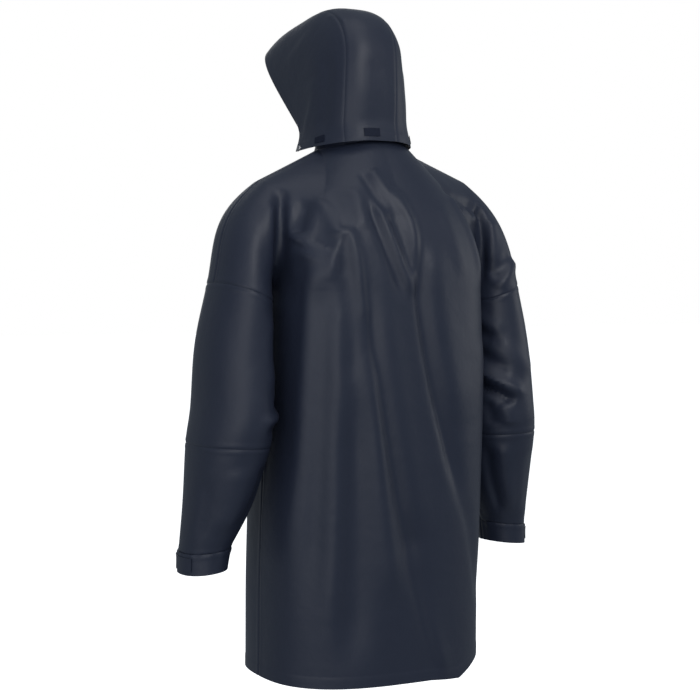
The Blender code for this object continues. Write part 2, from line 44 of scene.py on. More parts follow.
cloth = {
    "wall": 0.0012,          # coated knit
    "seamGap": 0.0001,       # open line between two panels
    "hemWidth": 0.020,       # turn-up at the coat's hem
    "brimWidth": 0.016,      # turn-up round the hood
    "hemRise": 0.0006,       # how far a turned-up layer stands proud
    "seamWidth": 0.009,      # welded allowance beside a seam
    "seamRise": 0.0005,
    "softRise": 0.0003,      # the hood's seams and hems are pressed flatter
    "seamDip": 1.6,          # how deep the seam line sits, against the rise
    "weld": 0.00002,         # points closer than this are one
    "shadeAngle": 38.0,      # edges sharper than this, in degrees, look sharp
}
# across a seam or a hem: where the raised band starts and ends and how wide its line is
relief = {
    "seamStart": (0.0008, 0.0035), "seamEnd": (-0.0015, 0.0025), "seamLine": 0.0016,
    "hemEnd": (-0.0010, 0.0022), "hemLine": 0.0014, "hemDip": 0.45,
}

neck = {
    "square": 2.1, "halfWidth": 0.087, "back": 0.079, "front": -0.085,
    "backZ": 0.010, "sideZ": 0.000, "frontZ": -0.052,
}
shoulder = {
    "tip": np.array((0.205, 0.004, -0.056)),   # outer end of the shoulder line on the body
    "lift": 0.035,                              # right shoulder higher, per metre across
    "leaveMiddle": np.array((0.0, 0.55, -0.75)),
    "leaveArmhole": np.array((0.25, 1.30, -0.13)),
    "arriveMiddle": np.array((0.0, 0.0, -1.0)),
    "arriveArmhole": np.array((0.0, -1.15, -0.65)),
    "leavePower": 1.2, "arrivePower": 6, "strength": 1.1,
    "capSpread": 0.25, "capFall": (-0.20, -0.75), "capStrength": (0.25, 1.15),
}
collar = {"height": 0.034, "tuck": 0.0030, "foot": 0.975, "lean": 0.90}

# coat below the underarm: height, half width, back and front depth, side seam y, squareness
BodyRow = namedtuple("BodyRow", "z halfWidth back front sideY square")
bodyRows = [
    BodyRow(-0.262, 0.2030, 0.188, 0.150, 0.022, 3.2),
    BodyRow(-0.370, 0.2045, 0.190, 0.148, 0.020, 3.3),
    BodyRow(-0.500, 0.2060, 0.188, 0.150, 0.018, 3.2),
    BodyRow(-0.650, 0.2090, 0.182, 0.154, 0.014, 3.0),
    BodyRow(-0.800, 0.2120, 0.177, 0.158, 0.010, 2.8),
    BodyRow(-0.962, 0.2140, 0.175, 0.161, 0.010, 2.7),
]
# how far the hem hangs below its row, from the right side to the left
HemRow = namedtuple("HemRow", "x back front")
hemRows = [
    HemRow(-0.214, -0.026, -0.018),
    HemRow(-0.165, -0.009, -0.008),
    HemRow(-0.120, 0.010, 0.000),
    HemRow(-0.050, 0.003, 0.000),
    HemRow(0.214, -0.002, -0.002),
]
# left sleeve, mirrored for the right: height, middle, half width and depth, rise to the outer side
SleeveRow = namedtuple("SleeveRow", "z x y halfWidth halfDepth tilt")
sleeveRows = [
    SleeveRow(-0.266, 0.2600, 0.031, 0.0490, 0.083, 0.38),
    SleeveRow(-0.365, 0.2720, 0.030, 0.0600, 0.093, 0.15),
    SleeveRow(-0.470, 0.2750, 0.033, 0.0660, 0.101, 0.05),
    SleeveRow(-0.534, 0.2830, 0.029, 0.0670, 0.096, 0.05),
    SleeveRow(-0.635, 0.2965, 0.016, 0.0575, 0.077, 0.00),
    SleeveRow(-0.721, 0.3175, 0.003, 0.0430, 0.053, -0.10),
]
sleeve = {"square": 2.2, "elbowRow": 3, "chartRadius": 0.088}
cuff = {
    "topZ": -0.7190, "bottomZ": -0.757, "swell": 0.0012, "taper": 0.0020, "lean": -0.10,
    "wall": 0.0024, "pucker": 0.0013, "puckerDepth": 0.012,
}
# waves that pucker the cuff's upper edge
Wave = namedtuple("Wave", "pitch phase strength")
cuffWaves = [Wave(118.0, 1.0, 1.0), Wave(201.0, 1.7, 0.6), Wave(63.0, 0.0, 0.4)]
# hood arches from the neck hem over the crown to the brim: base, angle up from straight back,
# reach, half width, squareness, shift in x, flare, and how far the panels twist
HoodRow = namedtuple("HoodRow", "baseY baseZ angle reach halfWidth square shift flare twist")
hoodRows = [
    HoodRow(-0.0600, -0.004, 4.5, 0.154, 0.1015, 2.9, 0.006, 0.00, 0.020),
    HoodRow(-0.0605, 0.010, 15.0, 0.155, 0.0970, 2.8, 0.006, 0.00, 0.020),
    HoodRow(-0.0610, 0.022, 35.0, 0.182, 0.0940, 2.8, 0.006, 0.00, 0.018),
    HoodRow(-0.0625, 0.031, 57.0, 0.224, 0.0930, 2.8, 0.004, 0.00, 0.010),
    HoodRow(-0.0650, 0.038, 80.0, 0.228, 0.0930, 3.2, 0.000, 0.03, 0.000),
    HoodRow(-0.0690, 0.042, 106.0, 0.219, 0.0920, 3.8, 0.000, 0.08, 0.000),
    HoodRow(-0.0740, 0.044, 135.0, 0.241, 0.0900, 4.4, 0.000, 0.16, 0.000),
]
# the hem droops at the hood's two back corners
hood = {
    "centreHalf": 0.052, "droop": 0.0045, "droopRows": 0.30, "cornerWidth": 0.09,
    "cornerStart": 0.33, "cornerDepth": 0.12,
}

stud = {
    "radius": 0.0065, "topShare": 0.86, "height": 0.0022, "segments": 40, "round": 0.00025,
    "sharpEdge": 0.9, "float": 0.0002, "shadeAngle": 35.0,
}
# rings stepped into the cap from its rim: width of the step and how far it rises
StudStep = namedtuple("StudStep", "width rise")
studSteps = [
    StudStep(0.0008, 0.0), StudStep(0.0003, -0.0004), StudStep(0.0016, 0.0003),
    StudStep(0.0012, 0.0002),
]
trim = {
    "gap": 0.0003, "wall": 0.0012, "patchWall": 0.0009, "edge": 0.003, "edgeRise": 0.0002,
    "cuffGap": 0.0004, "cuffStudFloat": 0.0008, "placketStudFloat": 0.0005,
    "patchGrid": (9, 13), "tabGrid": (9, 61), "placketGrid": (201, 21),
}
# places on a panel as shares of its rows and columns
hoodStud = {"row": 0.0423, "right": 0.092, "left": 0.908}
tab = {
    "top": 0.175, "bottom": 0.825, "start": 3.6 / 16, "end": 9.6 / 16, "middle": 0.5,
    "stud": 4.1 / 16,
}
placket = {
    "half": 5.0, "studColumn": 2.5, "top": 0.5 / 8, "hemRoom": 0.12 / 14,
    "upperStuds": (1.5 / 8, 5.5 / 8), "lowerStuds": (1.5 / 14, 4.5 / 14, 7.5 / 14, 10.5 / 14),
}
# on the hood rows are shares from its hem to its brim, columns shares across the panel
HoodPatch = namedtuple("HoodPatch", "panel top bottom start end")
hoodPatches = [
    HoodPatch("right", 0.031, 0.096, 0.533, 0.683),
    HoodPatch("centre", 0.031, 0.096, 0.350, 0.650),
    HoodPatch("left", 0.031, 0.096, 0.300, 0.483),
]

# how finely each panel is divided
grain = {
    "upperRows": 80, "lowerRows": 126, "backColumns": 70, "frontColumns": 55,
    "backShoulder": 28, "frontShoulder": 30, "capColumns": 35, "sleeveRound": 56,
    "midSleeveRows": 60, "lowerSleeveRows": 42, "hoodRows": 100, "hoodCentre": 26,
    "hoodSide": 46, "curve": 320, "blend": 24, "cuffRows": 8, "collarRows": 8,
    "foldSteps": 48, "armSteps": 60,
}
# distances from a panel's edge of the close rows that shape a seam or a hem
edgeSteps = {
    "": (0.0,),
    "seam": (0.0, 0.0010, 0.0022, 0.0045, 0.0075, 0.0095, 0.0120),
    "hem": (0.0, 0.0012, 0.0045, 0.0090, 0.0140, 0.0180, 0.0196, 0.0210, 0.0228, 0.0260),
}
spacing = {"sleeve": 0.005, "cuff": 0.0045, "hood": 0.0042}     # of the plain rows between them

foldCrest = 0.0026       # how rounded the crest of the sharpest fold is
foldReach = 3            # widths beside a fold beyond which it is left out
foldFade = 0.22          # share of a fold over which it fades in and out
seamFade = 0.010         # how far from a seam the folds have died out
farAway = 1.0            # distance that stands for no seam or hem near

# folds, listed one by one: start, middle and end, width to each side, sharpness, height
# on the body x and z; on a sleeve the turn round the arm in degrees (0 outer side, 90 back,
# 180 inner side, 270 front) and z; a ridge is a positive height and a trough a negative one
Fold = namedtuple("Fold", "x0 z0 x1 z1 x2 z2 left right power height")
backFolds = [
    # left armhole and the small swag beside it
    Fold(0.188, -0.078, 0.203, -0.155, 0.204, -0.300, 0.010, 0.008, 1.5, -0.0110),
    Fold(0.180, -0.085, 0.191, -0.150, 0.180, -0.184, 0.008, 0.011, 1.5, 0.0060),
    Fold(0.120, -0.072, 0.164, -0.155, 0.182, -0.184, 0.011, 0.008, 1.5, 0.0065),
    Fold(0.158, -0.098, 0.177, -0.140, 0.180, -0.166, 0.008, 0.008, 1.8, -0.0050),
    Fold(0.215, -0.100, 0.222, -0.160, 0.216, -0.250, 0.014, 0.007, 1.7, 0.0040),
    # left back, hanging from the shoulder blade
    Fold(0.166, -0.176, 0.182, -0.364, 0.194, -0.940, 0.019, 0.022, 1.6, 0.0115),
    Fold(0.176, -0.200, 0.197, -0.330, 0.205, -0.700, 0.012, 0.012, 1.7, -0.0095),
    Fold(0.158, -0.235, 0.166, -0.450, 0.170, -0.900, 0.019, 0.022, 1.8, -0.0110),
    Fold(0.113, -0.150, 0.136, -0.190, 0.149, -0.250, 0.010, 0.007, 1.5, 0.0060),
    Fold(0.147, -0.215, 0.143, -0.546, 0.146, -0.955, 0.023, 0.023, 1.8, 0.0095),
    Fold(0.127, -0.185, 0.120, -0.300, 0.116, -0.450, 0.012, 0.012, 1.9, -0.0045),
    Fold(0.118, -0.400, 0.106, -0.700, 0.106, -0.940, 0.025, 0.028, 1.9, -0.0095),
    Fold(0.113, -0.150, 0.104, -0.205, 0.080, -0.373, 0.008, 0.010, 1.5, 0.0065),
    Fold(0.090, -0.310, 0.060, -0.600, 0.020, -0.830, 0.022, 0.019, 1.7, 0.0095),
    # the long fold from the left shoulder blade to the right of the hem
    Fold(0.094, -0.175, 0.042, -0.527, -0.078, -0.975, 0.014, 0.016, 1.5, -0.0100),
    Fold(0.078, -0.195, 0.028, -0.500, -0.020, -0.720, 0.022, 0.034, 1.8, 0.0070),
    Fold(0.000, -0.700, -0.042, -0.840, -0.096, -0.985, 0.008, 0.018, 1.5, 0.0060),
    # nested swags from the nape
    Fold(0.056, -0.095, 0.032, -0.185, -0.007, -0.280, 0.007, 0.011, 1.7, 0.0067),
    Fold(0.066, -0.088, 0.046, -0.180, 0.008, -0.285, 0.010, 0.007, 1.7, -0.0054),
    Fold(0.014, -0.075, -0.013, -0.150, -0.008, -0.278, 0.010, 0.007, 1.7, 0.0054),
    Fold(0.032, -0.115, 0.012, -0.175, -0.003, -0.245, 0.010, 0.009, 1.9, -0.0040),
    Fold(0.044, -0.045, 0.026, -0.076, -0.010, -0.142, 0.007, 0.009, 1.7, 0.0040),
    Fold(0.060, -0.045, 0.052, -0.085, 0.032, -0.130, 0.007, 0.007, 1.7, -0.0036),
    Fold(0.090, -0.075, 0.082, -0.115, 0.088, -0.160, 0.014, 0.011, 1.8, 0.0032),
    Fold(0.136, -0.100, 0.134, -0.140, 0.130, -0.175, 0.010, 0.010, 1.8, 0.0040),
    # the second long fold, from the nape to the right side
    Fold(-0.026, -0.155, -0.034, -0.370, -0.140, -0.705, 0.010, 0.018, 1.5, -0.0100),
    Fold(-0.044, -0.160, -0.056, -0.330, -0.120, -0.520, 0.025, 0.040, 1.9, 0.0070),
    Fold(-0.120, -0.640, -0.155, -0.740, -0.185, -0.860, 0.010, 0.016, 1.8, -0.0030),
    # right shoulder blade and armhole
    Fold(-0.112, -0.066, -0.160, -0.096, -0.212, -0.106, 0.008, 0.008, 1.6, -0.0060),
    Fold(-0.118, -0.074, -0.148, -0.148, -0.172, -0.262, 0.007, 0.010, 1.5, 0.0065),
    Fold(-0.150, -0.088, -0.186, -0.126, -0.214, -0.118, 0.007, 0.009, 1.5, 0.0050),
    Fold(-0.138, -0.090, -0.168, -0.146, -0.188, -0.230, 0.009, 0.010, 1.8, -0.0050),
    Fold(-0.212, -0.098, -0.219, -0.165, -0.214, -0.275, 0.008, 0.007, 1.5, -0.0110),
    Fold(-0.172, -0.340, -0.180, -0.520, -0.176, -0.900, 0.020, 0.018, 1.9, 0.0030),
    Fold(-0.080, -0.100, -0.100, -0.160, -0.118, -0.250, 0.014, 0.014, 1.9, 0.0030),
    # right upper arm
    Fold(-0.290, -0.200, -0.266, -0.232, -0.232, -0.262, 0.010, 0.008, 1.5, 0.0055),
    Fold(-0.276, -0.185, -0.252, -0.215, -0.226, -0.238, 0.009, 0.009, 1.8, -0.0045),
    Fold(-0.240, -0.125, -0.236, -0.165, -0.228, -0.215, 0.007, 0.012, 1.6, 0.0045),
]
frontFolds = [
    Fold(0.188, -0.085, 0.202, -0.160, 0.203, -0.300, 0.010, 0.008, 1.5, -0.0090),
    Fold(-0.190, -0.080, -0.203, -0.150, -0.204, -0.300, 0.008, 0.010, 1.5, -0.0090),
    Fold(0.175, -0.095, 0.184, -0.150, 0.166, -0.205, 0.009, 0.009, 1.5, 0.0055),
    Fold(-0.170, -0.088, -0.182, -0.150, -0.160, -0.215, 0.009, 0.009, 1.5, 0.0055),
    Fold(0.078, -0.120, 0.104, -0.360, 0.098, -0.930, 0.025, 0.022, 1.6, -0.0085),
    Fold(0.112, -0.140, 0.136, -0.420, 0.128, -0.950, 0.025, 0.025, 1.8, 0.0070),
    Fold(0.150, -0.200, 0.166, -0.480, 0.168, -0.820, 0.022, 0.022, 1.8, -0.0065),
    Fold(-0.070, -0.130, -0.082, -0.460, -0.118, -0.955, 0.022, 0.028, 1.6, -0.0095),
    Fold(-0.104, -0.150, -0.124, -0.480, -0.150, -0.900, 0.028, 0.025, 1.8, 0.0070),
    Fold(-0.142, -0.210, -0.160, -0.400, -0.176, -0.700, 0.019, 0.022, 1.8, -0.0060),
    Fold(0.052, -0.350, 0.058, -0.640, 0.070, -0.940, 0.022, 0.025, 1.9, 0.0050),
    Fold(-0.046, -0.300, -0.052, -0.600, -0.060, -0.900, 0.022, 0.022, 1.9, 0.0045),
    Fold(0.150, -0.075, 0.120, -0.120, 0.082, -0.150, 0.010, 0.010, 1.6, 0.0040),
    Fold(-0.145, -0.070, -0.112, -0.122, -0.076, -0.160, 0.010, 0.010, 1.6, 0.0045),
]
leftSleeveFolds = [
    Fold(172, -0.446, 148, -0.452, 116, -0.468, 0.007, 0.009, 1.6, -0.0085),
    Fold(168, -0.474, 128, -0.482, 92, -0.488, 0.010, 0.008, 1.5, 0.0065),
    Fold(150, -0.510, 130, -0.505, 104, -0.500, 0.008, 0.008, 1.8, -0.0035),
    Fold(118, -0.290, 112, -0.370, 120, -0.440, 0.016, 0.014, 1.8, 0.0040),
    Fold(150, -0.300, 140, -0.370, 146, -0.430, 0.012, 0.014, 1.8, -0.0045),
    Fold(205, -0.430, 232, -0.446, 262, -0.440, 0.010, 0.010, 1.6, -0.0060),
    Fold(205, -0.462, 235, -0.470, 268, -0.462, 0.010, 0.010, 1.6, 0.0055),
    Fold(250, -0.300, 256, -0.380, 244, -0.430, 0.016, 0.016, 1.8, 0.0035),
    Fold(82, -0.560, 88, -0.620, 84, -0.690, 0.018, 0.022, 1.9, 0.0045),
    Fold(122, -0.556, 124, -0.610, 112, -0.690, 0.014, 0.014, 1.8, -0.0040),
    Fold(40, -0.580, 48, -0.640, 44, -0.700, 0.016, 0.016, 1.9, -0.0025),
    Fold(228, -0.560, 236, -0.620, 244, -0.690, 0.014, 0.016, 1.8, 0.0035),
]
rightSleeveFolds = [
    Fold(150, -0.412, 114, -0.434, 82, -0.464, 0.012, 0.010, 1.4, 0.0115),
    Fold(152, -0.434, 120, -0.452, 94, -0.474, 0.008, 0.009, 1.4, -0.0125),
    Fold(128, -0.352, 96, -0.384, 62, -0.420, 0.016, 0.016, 1.8, 0.0045),
    Fold(150, -0.378, 126, -0.392, 98, -0.418, 0.009, 0.010, 1.7, -0.0050),
    Fold(150, -0.300, 128, -0.322, 100, -0.335, 0.012, 0.012, 1.7, 0.0040),
    Fold(152, -0.322, 130, -0.346, 104, -0.362, 0.010, 0.010, 1.8, -0.0040),
    Fold(112, -0.474, 106, -0.494, 104, -0.520, 0.009, 0.012, 1.6, 0.0050),
    Fold(132, -0.470, 126, -0.495, 124, -0.520, 0.010, 0.010, 1.8, -0.0045),
    Fold(205, -0.420, 234, -0.438, 266, -0.430, 0.010, 0.010, 1.6, -0.0065),
    Fold(205, -0.450, 238, -0.464, 270, -0.452, 0.010, 0.010, 1.6, 0.0060),
    Fold(246, -0.300, 254, -0.370, 240, -0.420, 0.016, 0.016, 1.8, 0.0035),
    Fold(112, -0.550, 108, -0.610, 98, -0.700, 0.012, 0.014, 1.7, 0.0045),
    Fold(134, -0.550, 130, -0.620, 118, -0.700, 0.010, 0.012, 1.7, -0.0050),
    Fold(66, -0.560, 68, -0.630, 62, -0.700, 0.018, 0.018, 1.9, -0.0025),
    Fold(232, -0.560, 240, -0.620, 246, -0.690, 0.014, 0.016, 1.8, 0.0035),
]
# on the hood: distance along the arch from its middle and height up the arches, both in metres
hoodFolds = [
    Fold(0.046, 0.225, 0.050, 0.250, 0.058, 0.278, 0.004, 0.005, 1.6, 0.0026),
    Fold(0.110, 0.020, 0.100, 0.090, 0.112, 0.180, 0.022, 0.020, 1.9, -0.0030),
    Fold(0.150, 0.120, 0.138, 0.200, 0.120, 0.290, 0.026, 0.026, 1.9, 0.0020),
    Fold(0.190, 0.030, 0.172, 0.080, 0.175, 0.140, 0.022, 0.024, 1.9, 0.0018),
    Fold(-0.104, 0.020, -0.098, 0.100, -0.110, 0.190, 0.022, 0.022, 1.9, -0.0030),
    Fold(-0.150, 0.110, -0.140, 0.190, -0.124, 0.290, 0.018, 0.018, 1.8, 0.0030),
    Fold(-0.020, 0.020, -0.016, 0.080, -0.006, 0.170, 0.022, 0.024, 1.9, -0.0020),
]


def mix(first, second, share):
    return first + (second - first) * share


def hermite(start, startSlope, end, endSlope, part):
    square, cube = part * part, part ** 3
    return (
        (2 * cube - 3 * square + 1) * start
        + (cube - 2 * square + part) * startSlope
        + (3 * square - 2 * cube) * end
        + (cube - square) * endSlope
    )


def blendRows(table, steps):        # smooth rows between the rows of a table
    rowType = type(table[0])
    rows = np.array(table, dtype=float)
    result = []
    for place in np.linspace(0.0, len(rows) - 1.0, steps + 1):
        index = min(int(place), len(rows) - 2)
        before, start = rows[max(index - 1, 0)], rows[index]
        end, after = rows[index + 1], rows[min(index + 2, len(rows) - 1)]
        startSlope = (end - before) / (2.0 if index > 0 else 1.0)
        endSlope = (after - start) / (2.0 if index + 2 < len(rows) else 1.0)
        result.append(rowType(*hermite(start, startSlope, end, endSlope, place - index)))
    return result


def evenPoints(curve, steps):
    curve = np.asarray(curve)
    run = np.concatenate([[0.0], np.cumsum(np.linalg.norm(np.diff(curve, axis=0), axis=1))])
    wanted = np.linspace(0.0, run[-1], steps + 1)
    return np.stack([np.interp(wanted, run, curve[:, axis]) for axis in range(3)], axis=1)


def superEllipse(angle, halfWidth, halfDepth, square):
    power = 2.0 / square
    across = halfWidth * math.copysign(abs(math.sin(angle)) ** power, math.sin(angle))
    along = halfDepth * math.copysign(abs(math.cos(angle)) ** power, math.cos(angle))
    return across, along


def quarter(depth, sideY, halfWidth, square, middleZ, sideZ):
    points = []
    for angle in np.linspace(0.0, math.pi / 2, grain["curve"] // 2):
        across, along = superEllipse(angle, halfWidth, depth - sideY, square)
        points.append((across, sideY + along, mix(middleZ, sideZ, math.sin(angle) ** 2)))
    return points


def topEdge(isBack):                # neck edge, then the shoulder line to the armhole
    columns = grain["backColumns" if isBack else "frontColumns"]
    shoulderColumns = grain["backShoulder" if isBack else "frontShoulder"]
    depth = neck["back"] if isBack else neck["front"]
    middleZ = neck["backZ"] if isBack else neck["frontZ"]
    outline = quarter(depth, 0.0, neck["halfWidth"], neck["square"], middleZ, neck["sideZ"])
    neckPoints = evenPoints(outline, columns - shoulderColumns)
    start = neckPoints[-1]
    run = np.linspace(0.0, 1.0, shoulderColumns + 1)[1:]
    return np.vstack([neckPoints, [mix(start, shoulder["tip"], part) for part in run]])


def bodySection(row, isBack, columns):
    depth = row.back if isBack else -row.front
    return evenPoints(quarter(depth, row.sideY, row.halfWidth, row.square, row.z, row.z), columns)


def upperBody(isBack, columns):
    top = topEdge(isBack)
    bottom = bodySection(bodyRows[0], isBack, columns)
    facing = np.array((1.0, 1.0 if isBack else -1.0, 1.0))
    side = np.linspace(0.0, 1.0, columns + 1)[:, None]
    pull = facing * np.linalg.norm(bottom - top, axis=1)[:, None] * shoulder["strength"]
    leave = mix(shoulder["leaveMiddle"], shoulder["leaveArmhole"], side ** shoulder["leavePower"])
    arrive = mix(
        shoulder["arriveMiddle"], shoulder["arriveArmhole"], side ** shoulder["arrivePower"]
    )
    parts = np.linspace(0.0, 1.0, grain["upperRows"] + 1)
    return np.array([hermite(top, leave * pull, bottom, arrive * pull, part) for part in parts])


def sleeveRing(row, isBack, steps):     # half ring from the outer side to the inner side
    outward = 1.0 if isBack else -1.0
    points = []
    for angle in np.linspace(0.0, math.pi, steps + 1):
        depth, width = superEllipse(angle, row.halfDepth, row.halfWidth, sleeve["square"])
        points.append((row.x + width, row.y + outward * depth, row.z + row.tilt * width))
    return np.array(points)


def shoulderCap(armhole, isBack):       # from the armhole line out and down to the arm seam
    steps = grain["upperRows"]
    seam = sleeveRing(sleeveRows[0], isBack, steps)
    below = sleeveRing(sleeveRows[1], isBack, steps) - seam
    below /= np.linalg.norm(below, axis=1)[:, None]
    turn = np.linspace(0.0, math.pi, steps + 1)
    top = 0.5 + 0.5 * np.cos(turn)
    spread = shoulder["capSpread"] * np.sin(turn) * (1.0 if isBack else -1.0)
    leave = np.stack([np.ones(steps + 1), spread, mix(*shoulder["capFall"], top)], axis=1)
    pull = (np.linalg.norm(seam - armhole, axis=1) * mix(*shoulder["capStrength"], top))[:, None]
    parts = np.linspace(0.0, 1.0, grain["capColumns"] + 1)
    columns = [hermite(armhole, leave * pull, seam, below * pull, part) for part in parts]
    return np.array(columns).transpose(1, 0, 2)


def mirrored(grid):
    return grid[:, ::-1] * np.array((-1.0, 1.0, 1.0))


def liftShoulder(grid, fade):       # right shoulder up, left one down
    rows = np.linspace(0.0, 1.0, grid.shape[0])[:, None]
    grid[:, :, 2] -= grid[:, :, 0] * shoulder["lift"] * (1 - rows) * fade
    return grid


def bodyGrids(isBack):              # body from neck to hem, left cap, right cap
    columns = grain["backColumns" if isBack else "frontColumns"]
    upper = upperBody(isBack, columns)
    cap = shoulderCap(upper[:, -1], isBack)
    lower = np.array([
        bodySection(row, isBack, columns) for row in blendRows(bodyRows, grain["lowerRows"])
    ])
    upper = liftShoulder(np.concatenate([mirrored(upper)[:, :-1], upper], axis=1), 1.0)
    lower = np.concatenate([mirrored(lower)[:, :-1], lower], axis=1)
    across = [row.x for row in hemRows]
    drop = [row.back if isBack else row.front for row in hemRows]
    share = np.linspace(0.0, 1.0, lower.shape[0])[:, None] ** 2
    lower[:, :, 2] -= np.interp(lower[:, :, 0], across, drop) * share
    fade = np.linspace(1.0, 0.0, grain["capColumns"] + 1)[None, :]
    leftCap = liftShoulder(cap.copy(), fade)
    rightCap = liftShoulder(mirrored(cap), fade[:, ::-1])
    return np.concatenate([upper, lower[1:]], axis=0), leftCap, rightCap


def fullRing(row, side):            # starts and ends at the inner side
    back = sleeveRing(row, True, grain["sleeveRound"])
    front = sleeveRing(row, False, grain["sleeveRound"])
    return np.vstack([front[::-1], back[1:]]) * np.array((side, 1.0, 1.0))


def sleeveGrid(first, last, rows, side):
    fine = blendRows(sleeveRows, (len(sleeveRows) - 1) * grain["blend"])
    grid = []
    for place in np.linspace(first, last, rows + 1) * grain["blend"]:
        below = min(int(place), len(fine) - 2)
        row = SleeveRow(*mix(np.array(fine[below]), np.array(fine[below + 1]), place - below))
        grid.append(fullRing(row, side))
    return np.array(grid)


def cuffGrid(side):
    wrist = sleeveRows[-1]
    grid = []
    for part in np.linspace(0.0, 1.0, grain["cuffRows"] + 1):
        z = mix(cuff["topZ"], cuff["bottomZ"], part)
        swell = cuff["swell"] - cuff["taper"] * part
        row = wrist._replace(
            z=z, x=wrist.x + cuff["lean"] * (z - cuff["topZ"]),
            halfWidth=wrist.halfWidth + swell, halfDepth=wrist.halfDepth + swell,
        )
        grid.append(fullRing(row, side))
    return np.array(grid)


def hoodArch(row):
    lean = math.radians(row.angle)
    points = []
    for turn in np.linspace(-math.pi / 2, math.pi / 2, grain["curve"] + 1):
        across, along = superEllipse(turn, row.halfWidth, row.reach, row.square)
        share = along / row.reach
        sideways = across * (1 + row.flare * share) + row.shift * share
        y = row.baseY + along * math.cos(lean)
        points.append((sideways, y, row.baseZ + along * math.sin(lean)))
    return np.array(points)


def hoodGrids():        # right side, centre strip and left side, rows from the neck to the brim
    panels = {"right": [], "centre": [], "left": []}
    for number, row in enumerate(blendRows(hoodRows, grain["hoodRows"])):
        arch = hoodArch(row)
        fade = max(0.0, 1.0 - number / grain["hoodRows"] / hood["droopRows"])
        sideways = np.abs(arch[:, 0]) / hood["cornerWidth"] - hood["cornerStart"]
        backwards = (arch[:, 1] - row.baseY) / hood["cornerDepth"]
        corner = np.clip(sideways, 0.0, 1.0) * np.clip(backwards, 0.0, 1.0)
        arch[:, 2] -= hood["droop"] * fade * fade * corner
        lengths = np.linalg.norm(np.diff(arch, axis=0), axis=1)
        run = np.concatenate([[0.0], np.cumsum(lengths)])
        middle = run[-1] / 2 + row.twist
        first, second = middle - hood["centreHalf"], middle + hood["centreHalf"]
        for name, start, end, columns in (
            ("right", 0.0, first, grain["hoodSide"]),
            ("centre", first, second, grain["hoodCentre"]),
            ("left", second, run[-1], grain["hoodSide"]),
        ):
            edges = np.linspace(start, end, columns + 1)
            panels[name].append(
                np.stack([np.interp(edges, run, arch[:, axis]) for axis in range(3)], axis=1)
            )
    return {name: np.array(rows) for name, rows in panels.items()}


def collarGrid():       # stand collar from the neck edge up, open at the centre front
    back = topEdge(True)[: grain["backColumns"] - grain["backShoulder"] + 1]
    front = topEdge(False)[: grain["frontColumns"] - grain["frontShoulder"] + 1]
    half = np.vstack([front[:-1], back[::-1]])
    ring = np.vstack([half, half[-2::-1] * np.array((-1.0, 1.0, 1.0))])
    rows = []
    for part in np.linspace(0.0, 1.0, grain["collarRows"] + 1):
        shrink = mix(collar["foot"], collar["lean"], part)
        row = ring * np.array((shrink, shrink, 1.0))
        row[:, 2] += collar["height"] * part - collar["tuck"] - row[:, 0] * shoulder["lift"]
        rows.append(row)
    return np.array(rows)


# from a grid of points to cloth

def runs(grid, axis):               # distance along the rows or the columns of a grid
    steps = np.linalg.norm(np.diff(grid, axis=axis), axis=2)
    zero = np.zeros_like(np.take(steps, [0], axis=axis))
    return np.cumsum(np.concatenate([zero, steps], axis=axis), axis=axis)


def edgePlaces(count, step, start="", end=""):      # closer rows beside a seam or a hem
    first, last = np.array(edgeSteps[start]) / step, np.array(edgeSteps[end]) / step
    room = 0.4      # of a step, kept free beside the close rows
    middle = np.arange(math.ceil(first[-1] + room), math.floor(count - last[-1] - room) + 1)
    return np.concatenate([first, middle, count - last[::-1]])


def resample(grid, rowPlaces, columnPlaces):
    rows = np.clip(rowPlaces.astype(int), 0, grid.shape[0] - 2)
    grid = mix(grid[rows], grid[rows + 1], (rowPlaces - rows)[:, None, None])
    columns = np.clip(columnPlaces.astype(int), 0, grid.shape[1] - 2)
    return mix(grid[:, columns], grid[:, columns + 1], (columnPlaces - columns)[None, :, None])


# seams are open lines to the next panel, closed ones are sewn within the piece, and sides of
# the body are seams only below the underarm row
def sheetGrid(grid, rowPlaces, columnPlaces, seams="", hems="", closed="", sideFrom=-1):
    grid = resample(grid, rowPlaces, columnPlaces)
    lower = slice(sideFrom + 1, None)
    half = cloth["seamGap"] / 2
    borders = {
        "t": ((0, slice(None)), (1, slice(None))),
        "b": ((-1, slice(None)), (-2, slice(None))),
        "l": ((lower, 0), (lower, 1)),
        "r": ((lower, -1), (lower, -2)),
    }
    for side in seams:
        edge, inner = borders[side]
        inward = grid[inner] - grid[edge]
        grid[edge] += inward / np.linalg.norm(inward, axis=-1)[..., None] * half
    down, across = runs(grid, 0), runs(grid, 1)
    fromEdge = {"t": down, "b": down[-1:] - down, "l": across, "r": across[:, -1:] - across}
    if sideFrom >= 0:
        for side in "lr":
            fromEdge[side] = fromEdge[side].copy()
            fromEdge[side][: sideFrom + 1] = farAway
    far = np.full(down.shape, farAway)
    seam = np.minimum.reduce([far] + [fromEdge[side] for side in seams + closed])
    hem = np.minimum.reduce([far] + [fromEdge[side] for side in hems])
    return {"points": grid, "u": across, "v": down, "seam": seam, "hem": hem}


def armChart(grid):                 # turn round the arm and height
    fine = np.array(blendRows(sleeveRows, grain["armSteps"]))[::-1]
    z = grid[:, :, 2]
    x = np.abs(grid[:, :, 0]) - np.interp(z, fine[:, 0], fine[:, 1])
    y = grid[:, :, 1] - np.interp(z, fine[:, 0], fine[:, 2])
    return np.mod(np.arctan2(y, x), 2 * math.pi) * sleeve["chartRadius"], z


def armFolds(folds):
    scale = math.radians(1.0) * sleeve["chartRadius"]
    return [f._replace(x0=f.x0 * scale, x1=f.x1 * scale, x2=f.x2 * scale) for f in folds]


